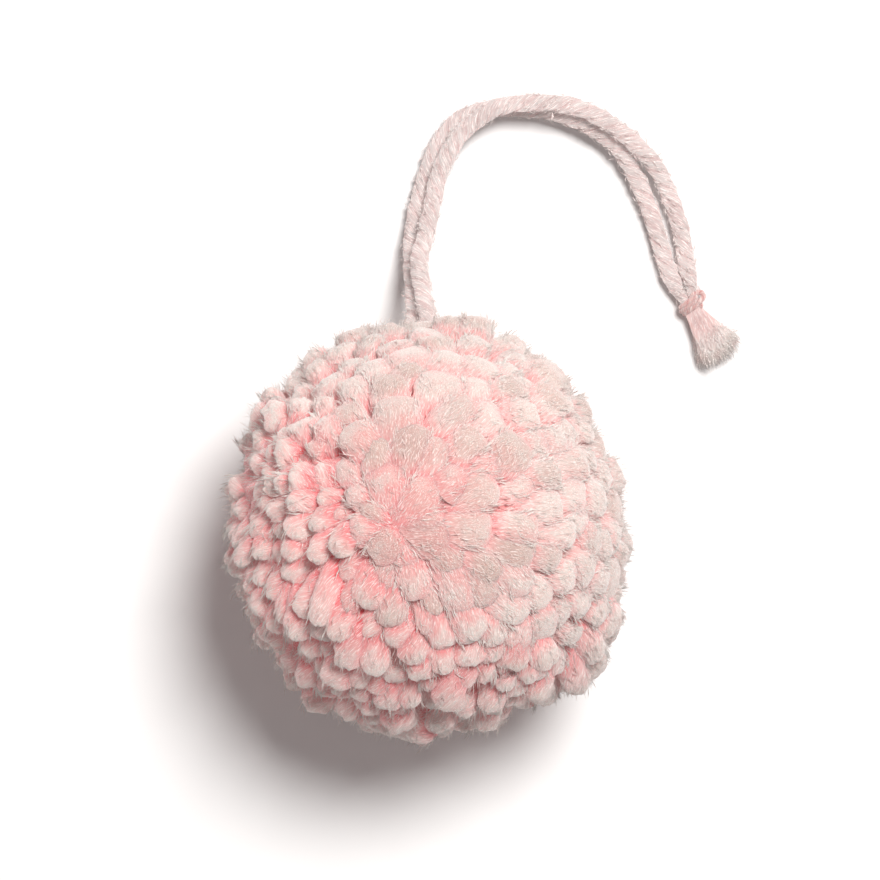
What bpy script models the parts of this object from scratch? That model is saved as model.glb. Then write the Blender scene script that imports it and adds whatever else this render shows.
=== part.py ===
"""Yarn pompom on a doubled hanging cord, lying on a table. Blender 4.5, metres, +Z up.

The pompom is a core ball with locks of cut yarn standing out of it. Two runs of twisted cord leave the
core between the locks, lie in a hook on the table and end in a binding, past which they fray into a tuft.
The origin is on the table, under the middle of the pompom.
"""

import math
import random

import bmesh
import bpy
from mathutils import Matrix, Vector, noise

MM = 0.001

# The pompom: the middle and radius of its trimmed ball, and the core that every lock grows from.
BALL_RADIUS = 31.0 * MM
BALL_CENTRE = Vector((0.15, -0.17, 29.8)) * MM
CORE_CENTRE = Vector((-3.5, 1.0, 29.8)) * MM
CORE_RADIUS = 14.0 * MM

# Locks: one for each cell of a cube's grid that is blown up to a ball.
CELLS_PER_EDGE = 7
CORNER_JITTER = 0.045
LENGTH_SPREAD = 0.9 * MM
ROOT_CLEARANCE = 0.8 * MM
SHOULDER_CLEARANCE = 1.1 * MM
SHOULDER_PLACE = 0.84
TIP_SHARE = 0.6
ROOT_INSET = 0.2 * MM
REACH_STEPS = 5
FLOOR_CLEARANCE = 0.25 * MM
SEED = 12
SORT_STEP = 0.01 * MM
MERGE_STEP = 0.001 * MM

# Swells and hollows of the trimmed ball: azimuth, elevation and width are in degrees.
SWELLS = (
    {"azimuth": 319, "elevation": 2, "width": 15, "extra": 3.6 * MM},
    {"azimuth": 78, "elevation": 10, "width": 14, "extra": 1.4 * MM},
    {"azimuth": 143, "elevation": 8, "width": 9, "extra": 1.8 * MM},
    {"azimuth": 250, "elevation": 0, "width": 18, "extra": 0.8 * MM},
    {"azimuth": 22, "elevation": 20, "width": 22, "extra": -0.7 * MM},
    {"azimuth": 160, "elevation": -5, "width": 12, "extra": -0.8 * MM},
)

# Partings on the upper side, where clumps of locks lean apart: x and y in millimetres, as seen from above.
PARTINGS = (
    {"name": "left", "line": ((-15.0, 10.0), (-12.5, 6.5), (-12.5, 0.5), (-9.2, -6.4))},
    {"name": "near", "line": ((-4.6, 1.5), (-4.2, -6.7), (-2.0, -15.5), (4.8, -20.1))},
    {"name": "right", "line": ((-4.6, 1.2), (2.6, 3.6), (18.2, 2.2))},
    {"name": "near right", "line": ((0.5, -8.1), (11.4, -13.3), (25.1, -19.8))},
)
PARTING_PUSH = 2.0 * MM
PARTING_FADE = 5.0 * MM
PARTING_RISE = 1.6

# Slow waves that lean neighbouring locks the same way, so that they stand in loose clumps.
WAVE_PUSH = 1.9 * MM
WAVE_LENGTH = 17.0 * MM
WAVE_SHIFT = 31.7

# The line on which the cords leave the core, and how far the locks stand back from it.
EXIT_LINE = Vector((0.078, 0.919, -0.386)).normalized()
EXIT_PUSH = 2.6 * MM
EXIT_FADE = 6.0 * MM
EXIT_EVEN_PLACE = 0.95
EXIT_CELL_SHARE = 1 / 3

# Hanging cord: three plies on two routes, in millimetres, from the core to the binding.
CORD_RADIUS = 1.35 * MM
CORD_PLIES = 3
CORD_LEAD = 8.4 * MM
CORD_STEP = 0.93 * MM
ROUTE_PARTS = 20
PLY_VALLEY = 0.76
PLY_HALF_ANGLE = math.radians(27)
CORD_END_TAPER = 4.0 * MM
CORD_END_SHARE = 0.6
INNER_ROUTE = (
    (-3.47, 13.87, 23.38), (-2.8, 21.8, 20.05), (-2.1, 29.4, 16.6), (-1.9, 33.5, 13.6), (-2.1, 37.5, 9.9),
    (-2.4, 41.7, 6.1), (-2.3, 45.9, 3.4), (-1.5, 51.1, 1.9), (0.0, 56.4, 1.5), (1.6, 60.4, 1.5),
    (4.0, 63.9, 1.5), (7.3, 66.0, 1.6), (11.3, 66.8, 2.0), (15.3, 66.8, 2.6), (19.4, 66.4, 3.0),
    (23.2, 65.2, 3.2), (27.0, 63.4, 3.1), (30.7, 60.5, 2.7), (33.0, 56.9, 2.2), (34.6, 53.7, 1.9),
    (36.0, 50.2, 1.6), (37.1, 46.7, 1.5), (38.2, 42.9, 1.5), (39.4, 39.5, 1.6), (40.7, 36.9, 1.85),
)
OUTER_ROUTE = (
    (-1.29, 14.51, 25.34), (-0.5, 22.4, 22.3), (0.2, 29.6, 19.4), (0.0, 33.8, 17.0), (-0.8, 37.9, 13.7),
    (-1.2, 42.0, 9.9), (-0.2, 46.1, 6.7), (0.9, 51.1, 4.8), (2.0, 56.1, 4.3), (3.5, 59.4, 4.2),
    (5.6, 62.6, 4.1), (8.4, 65.0, 4.7), (11.5, 66.7, 5.3), (15.3, 67.3, 6.0), (19.5, 67.3, 6.3),
    (23.7, 66.7, 6.3), (27.9, 64.9, 5.9), (32.5, 61.7, 5.0), (36.3, 57.9, 3.6), (38.5, 54.0, 2.6),
    (39.9, 50.5, 2.0), (41.0, 46.7, 1.7), (41.6, 43.0, 1.6), (42.1, 40.4, 1.6), (42.65, 37.9, 1.85),
)

# Binding: turns of thin yarn wound side by side round both runs, with the tie's small loop at its side.
BINDING_CENTRE = Vector((42.4, 35.0, 1.95)) * MM
HEADING = Vector((0.55, -0.835, 0)).normalized()
BINDING_TURNS = 3
BINDING_RADIUS = 1.85 * MM
BINDING_GROOVE = 1.5 * MM
BINDING_LENGTH = 2.6 * MM
BINDING_SIDES = 14
TIE_LOOP_RADIUS = 0.95 * MM
TIE_LOOP_SET_BACK = 0.7 * MM
TIE_LOOP_SEGMENTS = 10
TIE_LOOP_RINGS = 6

# Tuft: the frayed plies of both runs, drawn out of a small head and laid on the table.
TUFT_GAP = 0.3 * MM
HEAD_WIDTH = 3.0 * MM
HEAD_HEIGHT = 1.9 * MM
HEAD_LENGTH = 1.4 * MM
HEAD_BACK_SHARE = 0.75
TUFT_COLUMNS = 3
TUFT_ROWS = 2
PLY_INSET = 0.12 * MM
TUFT_LENGTH = 6.4 * MM
SHORTEST_PLY = 0.9
LONGEST_PLY = 1.06
TUFT_SPREAD = 2.3
PLY_SWELL = (
    {"place": 0.35, "swell": 1.5, "spread": 0.4},
    {"place": 0.82, "swell": 2.1, "spread": 0.95},
    {"place": 1.0, "swell": 1.3, "spread": 1.0},
)
LOW_PLY_HEIGHT = 0.85 * MM
HIGH_PLY_HEIGHT = 2.75 * MM

YARN = {"name": "pompom_yarn", "colour": (0.93, 0.70, 0.67, 1), "roughness": 0.95}
CORD_YARN = {"name": "cord_yarn", "colour": (0.90, 0.77, 0.73, 1), "roughness": 0.9}
BINDING_YARN = {"name": "binding_yarn", "colour": (0.94, 0.63, 0.61, 1), "roughness": 0.9}


def clear_scene():
    for thing in list(bpy.data.objects):
        bpy.data.objects.remove(thing)


def yarn_material(finish):
    material = bpy.data.materials.new(finish["name"])
    material.use_nodes = True
    shader = material.node_tree.nodes["Principled BSDF"]
    shader.inputs["Base Color"].default_value = finish["colour"]
    shader.inputs["Roughness"].default_value = finish["roughness"]
    shader.inputs["Metallic"].default_value = 0
    return material


def add_object(name, data, finish):
    thing = bpy.data.objects.new(name, data)
    bpy.context.scene.collection.objects.link(thing)
    data.materials.append(yarn_material(finish))
    return thing


def add_from_bmesh(name, bm, finish):
    bmesh.ops.recalc_face_normals(bm, faces=bm.faces)
    mesh = bpy.data.meshes.new(name)
    bm.to_mesh(mesh)
    bm.free()
    return add_object(name, mesh, finish)


def direction_of(azimuth, elevation):
    turn, rise = math.radians(azimuth), math.radians(elevation)
    return Vector((math.cos(turn) * math.cos(rise), math.sin(turn) * math.cos(rise), math.sin(rise)))


def trimmed_radius(direction):
    """The radius of the trimmed ball in a direction from its middle."""
    radius = BALL_RADIUS
    for swell in SWELLS:
        off = direction.angle(direction_of(swell["azimuth"], swell["elevation"]))
        radius += swell["extra"] * math.exp(-((off / math.radians(swell["width"])) ** 2))
    return radius


def reach_along(direction):
    """How far from the core's centre the trimmed ball's surface lies in a direction."""
    reach = BALL_RADIUS
    for _ in range(REACH_STEPS):
        from_middle = CORE_CENTRE + direction * reach - BALL_CENTRE
        reach += trimmed_radius(from_middle.normalized()) - from_middle.length
    return reach


def nearest_on(line, place):
    """The point of a line of points, seen from above, that is nearest to a place."""
    nearest = []
    for start, end in zip(line, line[1:]):
        share = (place - start).dot(end - start) / (end - start).length_squared
        nearest.append(start.lerp(end, min(1, max(0, share))))
    return min(nearest, key=lambda point: (place - point).length)


def parting_lean(tip):
    """How far the tip of a lock leans away from the partings near it."""
    height = (tip.z - BALL_CENTRE.z) / BALL_RADIUS
    lean = Vector((0, 0, 0))
    if height <= 0:
        return lean
    for parting in PARTINGS:
        line = [Vector(point) * MM for point in parting["line"]]
        away = tip.xy - nearest_on(line, tip.xy)
        push = PARTING_PUSH * math.exp(-away.length / PARTING_FADE) * min(1, PARTING_RISE * height)
        lean += (away.normalized() * push).to_3d()
    return lean


def clumped(point, openness):
    """A point of a lock, leaned by the slow waves."""
    place = point / WAVE_LENGTH
    wave = Vector([noise.noise(place + Vector((WAVE_SHIFT * i, 0, 0))) for i in range(3)])
    outward = (point - CORE_CENTRE).normalized()
    return point + (wave - outward * wave.dot(outward)) * (WAVE_PUSH * openness)


def clear_of_exit(point):
    """A point moved back from the line on which the cords leave the core."""
    along = (point - CORE_CENTRE).dot(EXIT_LINE)
    across = point - CORE_CENTRE - EXIT_LINE * along
    if along <= 0 or across.length == 0:
        return point
    return point + across.normalized() * (EXIT_PUSH * math.exp(-across.length / EXIT_FADE))


def in_order(items, place_of):
    """Items sorted by place, so that each draws the same random number in every run."""
    return sorted(items, key=lambda item: [round(value / SORT_STEP) for value in place_of(item)])


def core_grid():
    """A cube's faces cut into cells, blown up to the core's ball and jittered away from the cords' exit."""
    bm = bmesh.new()
    bmesh.ops.create_cube(bm, size=2)
    bmesh.ops.subdivide_edges(bm, edges=bm.edges, cuts=CELLS_PER_EDGE - 1, use_grid_fill=True)
    chance = random.Random(SEED)
    turn = Vector((0, 1, 0)).rotation_difference(EXIT_LINE).to_matrix()
    for vert in in_order(bm.verts, lambda vert: vert.co):
        direction = Vector([math.tan(place * math.pi / 4) for place in vert.co]).normalized()
        jitter = Vector([chance.uniform(-1, 1) for _ in range(3)]) * CORNER_JITTER
        if direction.y < EXIT_EVEN_PLACE:
            direction = (direction + jitter).normalized()
        vert.co = CORE_CENTRE + turn @ direction * CORE_RADIUS
    return bm


def place_corners(face, starts, ends):
    """Moves each corner of a face from its place among the starts to the same one among the ends."""
    for vert in face.verts:
        nearest = min(range(len(starts)), key=lambda i: (vert.co - starts[i]).length)
        vert.co = ends[nearest]


def lock_ring(axis, corners, lean, distance, share, openness):
    """The places of a lock's corners at a distance from the core's centre, drawn in to a share of its cell."""
    places = []
    for corner in corners:
        point = CORE_CENTRE + axis.lerp(corner, share).normalized() * distance
        places.append(clear_of_exit(clumped(point, openness) + lean * openness))
    return places


def lock_reach(axis, corners, spread):
    """How far a lock's tip is from the core's centre, and whether the tip rests level on the table."""
    reach = reach_along(axis)
    if (CORE_CENTRE + axis * reach).z < FLOOR_CLEARANCE:
        return reach, True
    lowest = min(corner.z for corner in corners)
    room = (CORE_CENTRE.z - WAVE_PUSH / 2 - FLOOR_CLEARANCE) / -lowest if lowest < 0 else reach + spread
    return min(reach + spread, room), False


def grow_lock(bm, cell, spread, cell_angle):
    """Draws one cell of the core out as a four-sided lock: a narrow root, a full shoulder and a blunt tip."""
    corners = [(vert.co - CORE_CENTRE).normalized() for vert in cell.verts]
    axis = sum(corners, Vector()).normalized()
    reach, level = lock_reach(axis, corners, spread)
    lean = parting_lean(CORE_CENTRE + axis * reach)
    shoulder = reach * SHOULDER_PLACE
    root_ring = lock_ring(axis, corners, lean, CORE_RADIUS, 1 - ROOT_CLEARANCE / (CORE_RADIUS * cell_angle), 0)
    shoulder_share = 1 - SHOULDER_CLEARANCE / (shoulder * cell_angle)
    shoulder_ring = lock_ring(axis, corners, lean, shoulder, shoulder_share, SHOULDER_PLACE)
    tip_ring = lock_ring(axis, corners, lean, reach, TIP_SHARE, 1)
    if level:
        tip_ring = [Vector((place.x, place.y, 0)) for place in tip_ring]
    cell_ring = [vert.co.copy() for vert in cell.verts]
    bmesh.ops.inset_individual(bm, faces=[cell], thickness=ROOT_INSET)
    place_corners(cell, cell_ring, root_ring)
    face = cell
    for starts, ends in ((root_ring, shoulder_ring), (shoulder_ring, tip_ring)):
        face = bmesh.ops.extrude_discrete_faces(bm, faces=[face])["faces"][0]
        place_corners(face, starts, ends)


def build_pompom():
    bm = core_grid()
    chance = random.Random(SEED + 1)
    cells = in_order(bm.faces, lambda face: face.calc_center_median())
    cell_angle = math.sqrt(4 * math.pi / len(cells))
    for cell in cells:
        spread = chance.uniform(-1, 1) * LENGTH_SPREAD
        if (cell.calc_center_median() - CORE_CENTRE).angle(EXIT_LINE) > cell_angle * EXIT_CELL_SHARE:
            grow_lock(bm, cell, spread, cell_angle)
    for vert in bm.verts:
        if abs((vert.co - CORE_CENTRE).length - CORE_RADIUS) < SORT_STEP:
            vert.co = clear_of_exit(vert.co)
    middle = middle_of(bm)
    bmesh.ops.translate(bm, verts=bm.verts, vec=(-middle.x, -middle.y, 0))
    add_from_bmesh("pompom", bm, YARN)


def middle_of(bm):
    """The middle of a mesh's box."""
    places = [vert.co for vert in bm.verts]
    return Vector([(min(place[i] for place in places) + max(place[i] for place in places)) / 2 for i in range(3)])


def smooth_route(route, step):
    """Points an even step apart on a smooth curve through a route's own points."""
    knots = [Vector(point) * MM for point in route]
    knots = [knots[0] * 2 - knots[1], *knots, knots[-1] * 2 - knots[-2]]
    fine = []
    for before, start, end, after in zip(knots, knots[1:], knots[2:], knots[3:]):
        for i in range(ROUTE_PARTS):
            t = i / ROUTE_PARTS
            bend = (2 * before - 5 * start + 4 * end - after) * t**2
            swing = (3 * start - before - 3 * end + after) * t**3
            fine.append((2 * start + (end - before) * t + bend + swing) / 2)
    fine.append(knots[-2])
    along = [0.0]
    for start, end in zip(fine, fine[1:]):
        along.append(along[-1] + (end - start).length)
    count = round(along[-1] / step)
    points = []
    place = 0
    for i in range(count + 1):
        wanted = along[-1] * i / count
        while place < len(along) - 2 and along[place + 1] < wanted:
            place += 1
        share = (wanted - along[place]) / (along[place + 1] - along[place])
        points.append(fine[place].lerp(fine[place + 1], share))
    return points


def add_ply_outline():
    """The outline of the cord's cross-section: a valley and two shoulders for each ply."""
    curve = bpy.data.curves.new("ply_outline", "CURVE")
    curve.dimensions = "2D"
    spline = curve.splines.new("POLY")
    spline.points.add(CORD_PLIES * 3 - 1)
    spline.use_cyclic_u = True
    third = math.tau / CORD_PLIES
    for ply in range(CORD_PLIES):
        crest = ply * third
        corners = ((crest - third / 2, PLY_VALLEY), (crest - PLY_HALF_ANGLE, 1), (crest + PLY_HALF_ANGLE, 1))
        for i, (angle, share) in enumerate(corners):
            radius = CORD_RADIUS * share
            spline.points[ply * 3 + i].co = (radius * math.cos(angle), -radius * math.sin(angle), 0, 1)
    outline = bpy.data.objects.new("ply_outline", curve)
    bpy.context.scene.collection.objects.link(outline)
    outline.hide_render = True
    outline.display_type = "WIRE"
    return outline


def build_cord(name, route, outline):
    """One run of the cord: the plies' outline carried along its route, turning as it goes."""
    points = smooth_route(route, CORD_STEP)
    curve = bpy.data.curves.new(name, "CURVE")
    curve.dimensions = "3D"
    curve.twist_mode = "MINIMUM"
    curve.bevel_mode = "OBJECT"
    curve.bevel_object = outline
    curve.use_fill_caps = True
    spline = curve.splines.new("POLY")
    spline.points.add(len(points) - 1)
    for i, point in enumerate(points):
        to_end = min(i, len(points) - 1 - i) * CORD_STEP
        spline.points[i].co = (*point, 1)
        spline.points[i].tilt = math.tau * i * CORD_STEP / CORD_LEAD
        spline.points[i].radius = min(1, CORD_END_SHARE + (1 - CORD_END_SHARE) * to_end / CORD_END_TAPER)
    add_object(name, curve, CORD_YARN)


def on_heading(place):
    """The frame of the binding and the tuft: local +Z along the cords' heading, local +Y up."""
    up = Vector((0, 0, 1))
    axes = Matrix((up.cross(HEADING), up, HEADING)).transposed().to_4x4()
    return Matrix.Translation(place) @ axes


def build_binding():
    """Turns of thin yarn side by side, spun as one ridged barrel, with the tie's loop joined to its side."""
    bm = bmesh.new()
    pitch = BINDING_LENGTH / BINDING_TURNS
    start = -BINDING_LENGTH / 2
    profile = [(0, start), (BINDING_GROOVE, start)]
    for turn in range(BINDING_TURNS):
        profile.append((BINDING_RADIUS, start + pitch * (turn + 0.5)))
        profile.append((BINDING_GROOVE, start + pitch * (turn + 1)))
    profile.append((0, -start))
    verts = [bm.verts.new((radius, 0, height)) for radius, height in profile]
    edges = [bm.edges.new(pair) for pair in zip(verts, verts[1:])]
    bmesh.ops.spin(bm, geom=verts + edges, axis=(0, 0, 1), cent=(0, 0, 0), angle=math.tau, steps=BINDING_SIDES)
    bmesh.ops.remove_doubles(bm, verts=bm.verts, dist=MERGE_STEP)
    barrel = add_from_bmesh("binding_knot", bm, BINDING_YARN)
    barrel.matrix_world = on_heading(BINDING_CENTRE)
    bm = bmesh.new()
    bmesh.ops.create_uvsphere(bm, u_segments=TIE_LOOP_SEGMENTS, v_segments=TIE_LOOP_RINGS, radius=TIE_LOOP_RADIUS)
    loop = add_from_bmesh("tie_loop_guide", bm, BINDING_YARN)
    side = Vector((0, 0, 1)).cross(HEADING)
    loop.matrix_world = Matrix.Translation(BINDING_CENTRE + side * BINDING_RADIUS - HEADING * TIE_LOOP_SET_BACK)
    loop.hide_render = True
    loop.display_type = "WIRE"
    union = barrel.modifiers.new("tie_loop", "BOOLEAN")
    union.operation = "UNION"
    union.object = loop


def build_tuft():
    """A small head past the binding, with the frayed plies drawn out of it and laid on the table."""
    bm = bmesh.new()
    bmesh.ops.create_grid(bm, x_segments=TUFT_COLUMNS, y_segments=TUFT_ROWS, size=0.5)
    bmesh.ops.scale(bm, verts=bm.verts, vec=(HEAD_WIDTH, HEAD_HEIGHT, 1))
    backs = list(bm.faces)
    drawn = bmesh.ops.extrude_face_region(bm, geom=backs, use_keep_orig=True)["geom"]
    front_verts = [item for item in drawn if isinstance(item, bmesh.types.BMVert)]
    fronts = [item for item in drawn if isinstance(item, bmesh.types.BMFace)]
    bmesh.ops.translate(bm, verts=front_verts, vec=(0, 0, HEAD_LENGTH))
    back_verts = [vert for vert in bm.verts if vert.co.z < HEAD_LENGTH / 2]
    bmesh.ops.scale(bm, verts=back_verts, vec=(HEAD_BACK_SHARE, HEAD_BACK_SHARE, 1))
    chance = random.Random(SEED + 2)
    for front in in_order(fronts, lambda face: face.calc_center_median()):
        draw_ply(bm, front, TUFT_LENGTH * chance.uniform(SHORTEST_PLY, LONGEST_PLY))
    tuft = add_from_bmesh("frayed_end", bm, CORD_YARN)
    head_place = BINDING_CENTRE + HEADING * (BINDING_LENGTH / 2 + TUFT_GAP)
    tuft.matrix_world = on_heading(head_place)


def draw_ply(bm, front, length):
    """Draws one face of the head out as a frayed ply that spreads and lies down on the table."""
    bmesh.ops.inset_individual(bm, faces=[front], thickness=PLY_INSET)
    root = front.calc_center_median()
    section = [vert.co - root for vert in front.verts]
    height = (LOW_PLY_HEIGHT if root.y < 0 else HIGH_PLY_HEIGHT) - BINDING_CENTRE.z
    face = front
    starts = [vert.co.copy() for vert in front.verts]
    for ring in PLY_SWELL:
        sideways = root.x * (1 + (TUFT_SPREAD - 1) * ring["spread"])
        lift = root.y + (height - root.y) * ring["spread"]
        middle = Vector((sideways, lift, root.z + length * ring["place"]))
        ends = [middle + offset * ring["swell"] for offset in section]
        face = bmesh.ops.extrude_discrete_faces(bm, faces=[face])["faces"][0]
        place_corners(face, starts, ends)
        starts = ends


clear_scene()
build_pompom()
ply_outline = add_ply_outline()
build_cord("cord_inner", INNER_ROUTE, ply_outline)
build_cord("cord_outer", OUTER_ROUTE, ply_outline)
build_binding()
build_tuft()
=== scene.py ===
"""Looks of a soft pink yarn pompom with a doubled hanging cord, lying on a pale table, seen from above."""
import logging
import math
from dataclasses import dataclass, field, replace
from enum import Enum

import bpy
import numpy as np
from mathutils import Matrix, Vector


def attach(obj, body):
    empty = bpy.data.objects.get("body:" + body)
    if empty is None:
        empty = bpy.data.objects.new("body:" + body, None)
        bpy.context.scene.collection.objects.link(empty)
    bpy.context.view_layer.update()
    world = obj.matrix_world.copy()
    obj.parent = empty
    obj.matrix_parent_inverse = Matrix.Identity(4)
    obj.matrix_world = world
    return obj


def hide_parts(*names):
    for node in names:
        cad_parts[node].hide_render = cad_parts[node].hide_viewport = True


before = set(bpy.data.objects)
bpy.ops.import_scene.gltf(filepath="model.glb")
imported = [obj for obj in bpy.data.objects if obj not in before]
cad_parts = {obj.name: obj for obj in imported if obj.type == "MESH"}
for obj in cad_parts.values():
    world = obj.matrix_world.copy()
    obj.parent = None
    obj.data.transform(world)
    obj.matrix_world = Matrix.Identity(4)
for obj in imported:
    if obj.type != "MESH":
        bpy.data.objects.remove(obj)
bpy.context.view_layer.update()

MM = 0.001
SEED = 7
UP = np.array((0.0, 0.0, 1.0))
LOG = logging.getLogger("pompom")

# Routes of the two runs of cord, in millimetres, from the core of the pompom to the binding.
INNER_ROUTE = (
    (-3.47, 13.87, 23.38), (-2.8, 21.8, 20.05), (-2.1, 29.4, 16.6), (-1.9, 33.5, 13.6), (-2.1, 37.5, 9.9),
    (-2.4, 41.7, 6.1), (-2.3, 45.9, 3.4), (-1.5, 51.1, 1.9), (0.0, 56.4, 1.5), (1.6, 60.4, 1.5),
    (4.0, 63.9, 1.5), (7.3, 66.0, 1.6), (11.3, 66.8, 2.0), (15.3, 66.8, 2.6), (19.4, 66.4, 3.0),
    (23.2, 65.2, 3.2), (27.0, 63.4, 3.1), (30.7, 60.5, 2.7), (33.0, 56.9, 2.2), (34.6, 53.7, 1.9),
    (36.0, 50.2, 1.6), (37.1, 46.7, 1.5), (38.2, 42.9, 1.5), (39.4, 39.5, 1.6), (40.7, 36.9, 1.85),
)
OUTER_ROUTE = (
    (-1.29, 14.51, 25.34), (-0.5, 22.4, 22.3), (0.2, 29.6, 19.4), (0.0, 33.8, 17.0), (-0.8, 37.9, 13.7),
    (-1.2, 42.0, 9.9), (-0.2, 46.1, 6.7), (0.9, 51.1, 4.8), (2.0, 56.1, 4.3), (3.5, 59.4, 4.2),
    (5.6, 62.6, 4.1), (8.4, 65.0, 4.7), (11.5, 66.7, 5.3), (15.3, 67.3, 6.0), (19.5, 67.3, 6.3),
    (23.7, 66.7, 6.3), (27.9, 64.9, 5.9), (32.5, 61.7, 5.0), (36.3, 57.9, 3.6), (38.5, 54.0, 2.6),
    (39.9, 50.5, 2.0), (41.0, 46.7, 1.7), (41.6, 43.0, 1.6), (42.1, 40.4, 1.6), (42.65, 37.9, 1.85),
)
HEADING = np.array((0.55, -0.835, 0.0)) / math.hypot(0.55, 0.835)


def srgb(red: float, green: float, blue: float) -> tuple[float, float, float, float]:
    """Turns a colour as an eye reads it off a print, 0 to 255, into the shader's own values.

    Args:
        red: Red, 0 to 255.
        green: Green, 0 to 255.
        blue: Blue, 0 to 255.

    Returns:
        Red, green, blue and a full alpha, each 0 to 1.
    """
    values = [channel / 255 for channel in (red, green, blue)]
    return (*[v / 12.92 if v <= 0.04045 else ((v + 0.055) / 1.055) ** 2.4 for v in values], 1.0)


def unit(vectors: np.ndarray) -> np.ndarray:
    """Returns vectors at a length of one."""
    return vectors / np.maximum(np.linalg.norm(vectors, axis=-1, keepdims=True), 1e-12)


def smoothstep(low: float, high: float, values: np.ndarray) -> np.ndarray:
    """Returns a soft rise from 0 at low to 1 at high."""
    share = np.clip((values - low) / (high - low), 0, 1)
    return share * share * (3 - 2 * share)


def slow_waves(places: np.ndarray, length: float, seed: int) -> np.ndarray:
    """Returns smooth, irregular vectors of about unit size that change over a length.

    Args:
        places: Points, one a row.
        length: How far apart unlike values lie, in metres.
        seed: Which set of waves.

    Returns:
        One vector for each point.
    """
    chance = np.random.default_rng(seed)
    total = np.zeros_like(places)
    for _ in range(7):
        direction = unit(chance.normal(size=3)) * (2 * math.pi / length) * chance.uniform(0.6, 1.3)
        phase = chance.uniform(0, 2 * math.pi, 3)
        total += np.sin((places @ direction)[:, None] + phase)
    return total / 2.6


@dataclass(frozen=True)
class Softness:
    """Even shading of a soft pile, as if its surface were one with the ball's.

    Attributes:
        middle: The middle of the pile, in metres.
        share: How far the shading turns from each face's own way to the way out of the middle.
    """

    middle: tuple[float, float, float]
    share: float

    def apply(self, mesh: bpy.types.Mesh, points: np.ndarray) -> None:
        """Turns the normals of a mesh.

        Args:
            mesh: The mesh.
            points: Its corners, one a row.
        """
        own = np.zeros(len(points) * 3, np.float32)
        mesh.vertex_normals.foreach_get("vector", own)
        outward = unit(points - np.array(self.middle))
        turned = unit(own.reshape(-1, 3) * (1 - self.share) + outward * self.share)
        mesh.normals_split_custom_set_from_vertices(turned.astype(np.float32))


class Mark(Enum):
    """Names of the values that yarn meshes carry for their finish."""

    ALONG = "along"
    PLACE = "strand_place"
    TONE = "tone"
    GREY = "grey"


Marks = dict[Mark, np.ndarray]


def set_marks(mesh: bpy.types.Mesh, marks: Marks) -> None:
    """Gives the corners of a mesh the values that its finish reads.

    Args:
        mesh: The mesh.
        marks: Its values, one or three numbers for each corner.
    """
    for mark, values in marks.items():
        kind, part = ("FLOAT_VECTOR", "vector") if values.ndim == 2 else ("FLOAT", "value")
        layer = mesh.attributes.new(mark.value, kind, "POINT")
        layer.data.foreach_set(part, values.astype(np.float32).ravel())


def add_mesh(
    name: str,
    points: np.ndarray,
    faces: list[np.ndarray],
    marks: Marks,
    material: bpy.types.Material,
    softness: Softness | None = None,
) -> bpy.types.Object:
    """Makes one object, at the origin, from arrays of points and faces.

    Args:
        name: The object's name.
        points: Corner places in metres, one a row.
        faces: Arrays of corner numbers, one array for each number of sides.
        marks: Values for each corner that the material reads.
        material: The finish.
        softness: How its shading is evened out, if it is.

    Returns:
        The new object.
    """
    mesh = bpy.data.meshes.new(name)
    sides = np.concatenate([np.full(len(group), group.shape[1]) for group in faces])
    corners = np.concatenate([group.ravel() for group in faces]).astype(np.int32)
    starts = np.concatenate(([0], np.cumsum(sides)[:-1])).astype(np.int32)
    mesh.vertices.add(len(points))
    mesh.vertices.foreach_set("co", points.astype(np.float32).ravel())
    mesh.loops.add(len(corners))
    mesh.loops.foreach_set("vertex_index", corners)
    mesh.polygons.add(len(sides))
    mesh.polygons.foreach_set("loop_start", starts)
    mesh.polygons.foreach_set("use_smooth", np.ones(len(sides), bool))
    set_marks(mesh, marks)
    mesh.update(calc_edges=True)
    mesh.validate()
    if softness:
        softness.apply(mesh, points)
    mesh.materials.append(material)
    thing = bpy.data.objects.new(name, mesh)
    bpy.context.scene.collection.objects.link(thing)
    LOG.info("%s: %d triangles", name, int((sides - 2).sum()))
    return thing


def tube_mesh(
    name: str,
    corners: np.ndarray,
    ends: np.ndarray,
    marks: Marks,
    floor: float,
    material: bpy.types.Material,
    softness: Softness | None = None,
) -> bpy.types.Object:
    """Makes one object of tubes of rings that turn to the right round their way, closed at both ends.

    Args:
        name: The object's name.
        corners: Corner places in metres, by tube, ring and side.
        ends: The points that close the tubes, all the first ends and then all the last ones.
        marks: Values for each corner that the material reads.
        floor: Least height of a corner.
        material: The finish.
        softness: How its shading is evened out, if it is.

    Returns:
        The new object.
    """
    count, rings, sides = corners.shape[:3]
    total = count * rings * sides
    around = np.arange(sides)
    after = (around + 1) % sides
    first = np.arange(count)[:, None] * rings * sides
    last = first + (rings - 1) * sides
    root = total + np.arange(count)[:, None]
    below = np.stack(np.broadcast_arrays(first + after, first + around, root), -1)
    above = np.stack(np.broadcast_arrays(last + around, last + after, root + count), -1)
    caps = np.concatenate((below, above)).reshape(-1, 3)
    ring = np.arange(rings - 1)[:, None] * sides
    quads = np.stack((ring + around, ring + after, ring + sides + after, ring + sides + around), -1)
    quads = (quads.reshape(-1, 4)[None] + first[..., None]).reshape(-1, 4)
    closed = {}
    for mark, values in marks.items():
        by_tube = values.reshape(count, rings, sides, -1)
        every = (by_tube.reshape(total, -1), by_tube[:, 0, 0], by_tube[:, -1, 0])
        closed[mark] = np.concatenate(every).squeeze()
    points = np.concatenate((corners.reshape(-1, 3), ends))
    points[:, 2] = np.maximum(points[:, 2], floor)
    return add_mesh(name, points, [quads, caps], closed, material, softness)


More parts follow.
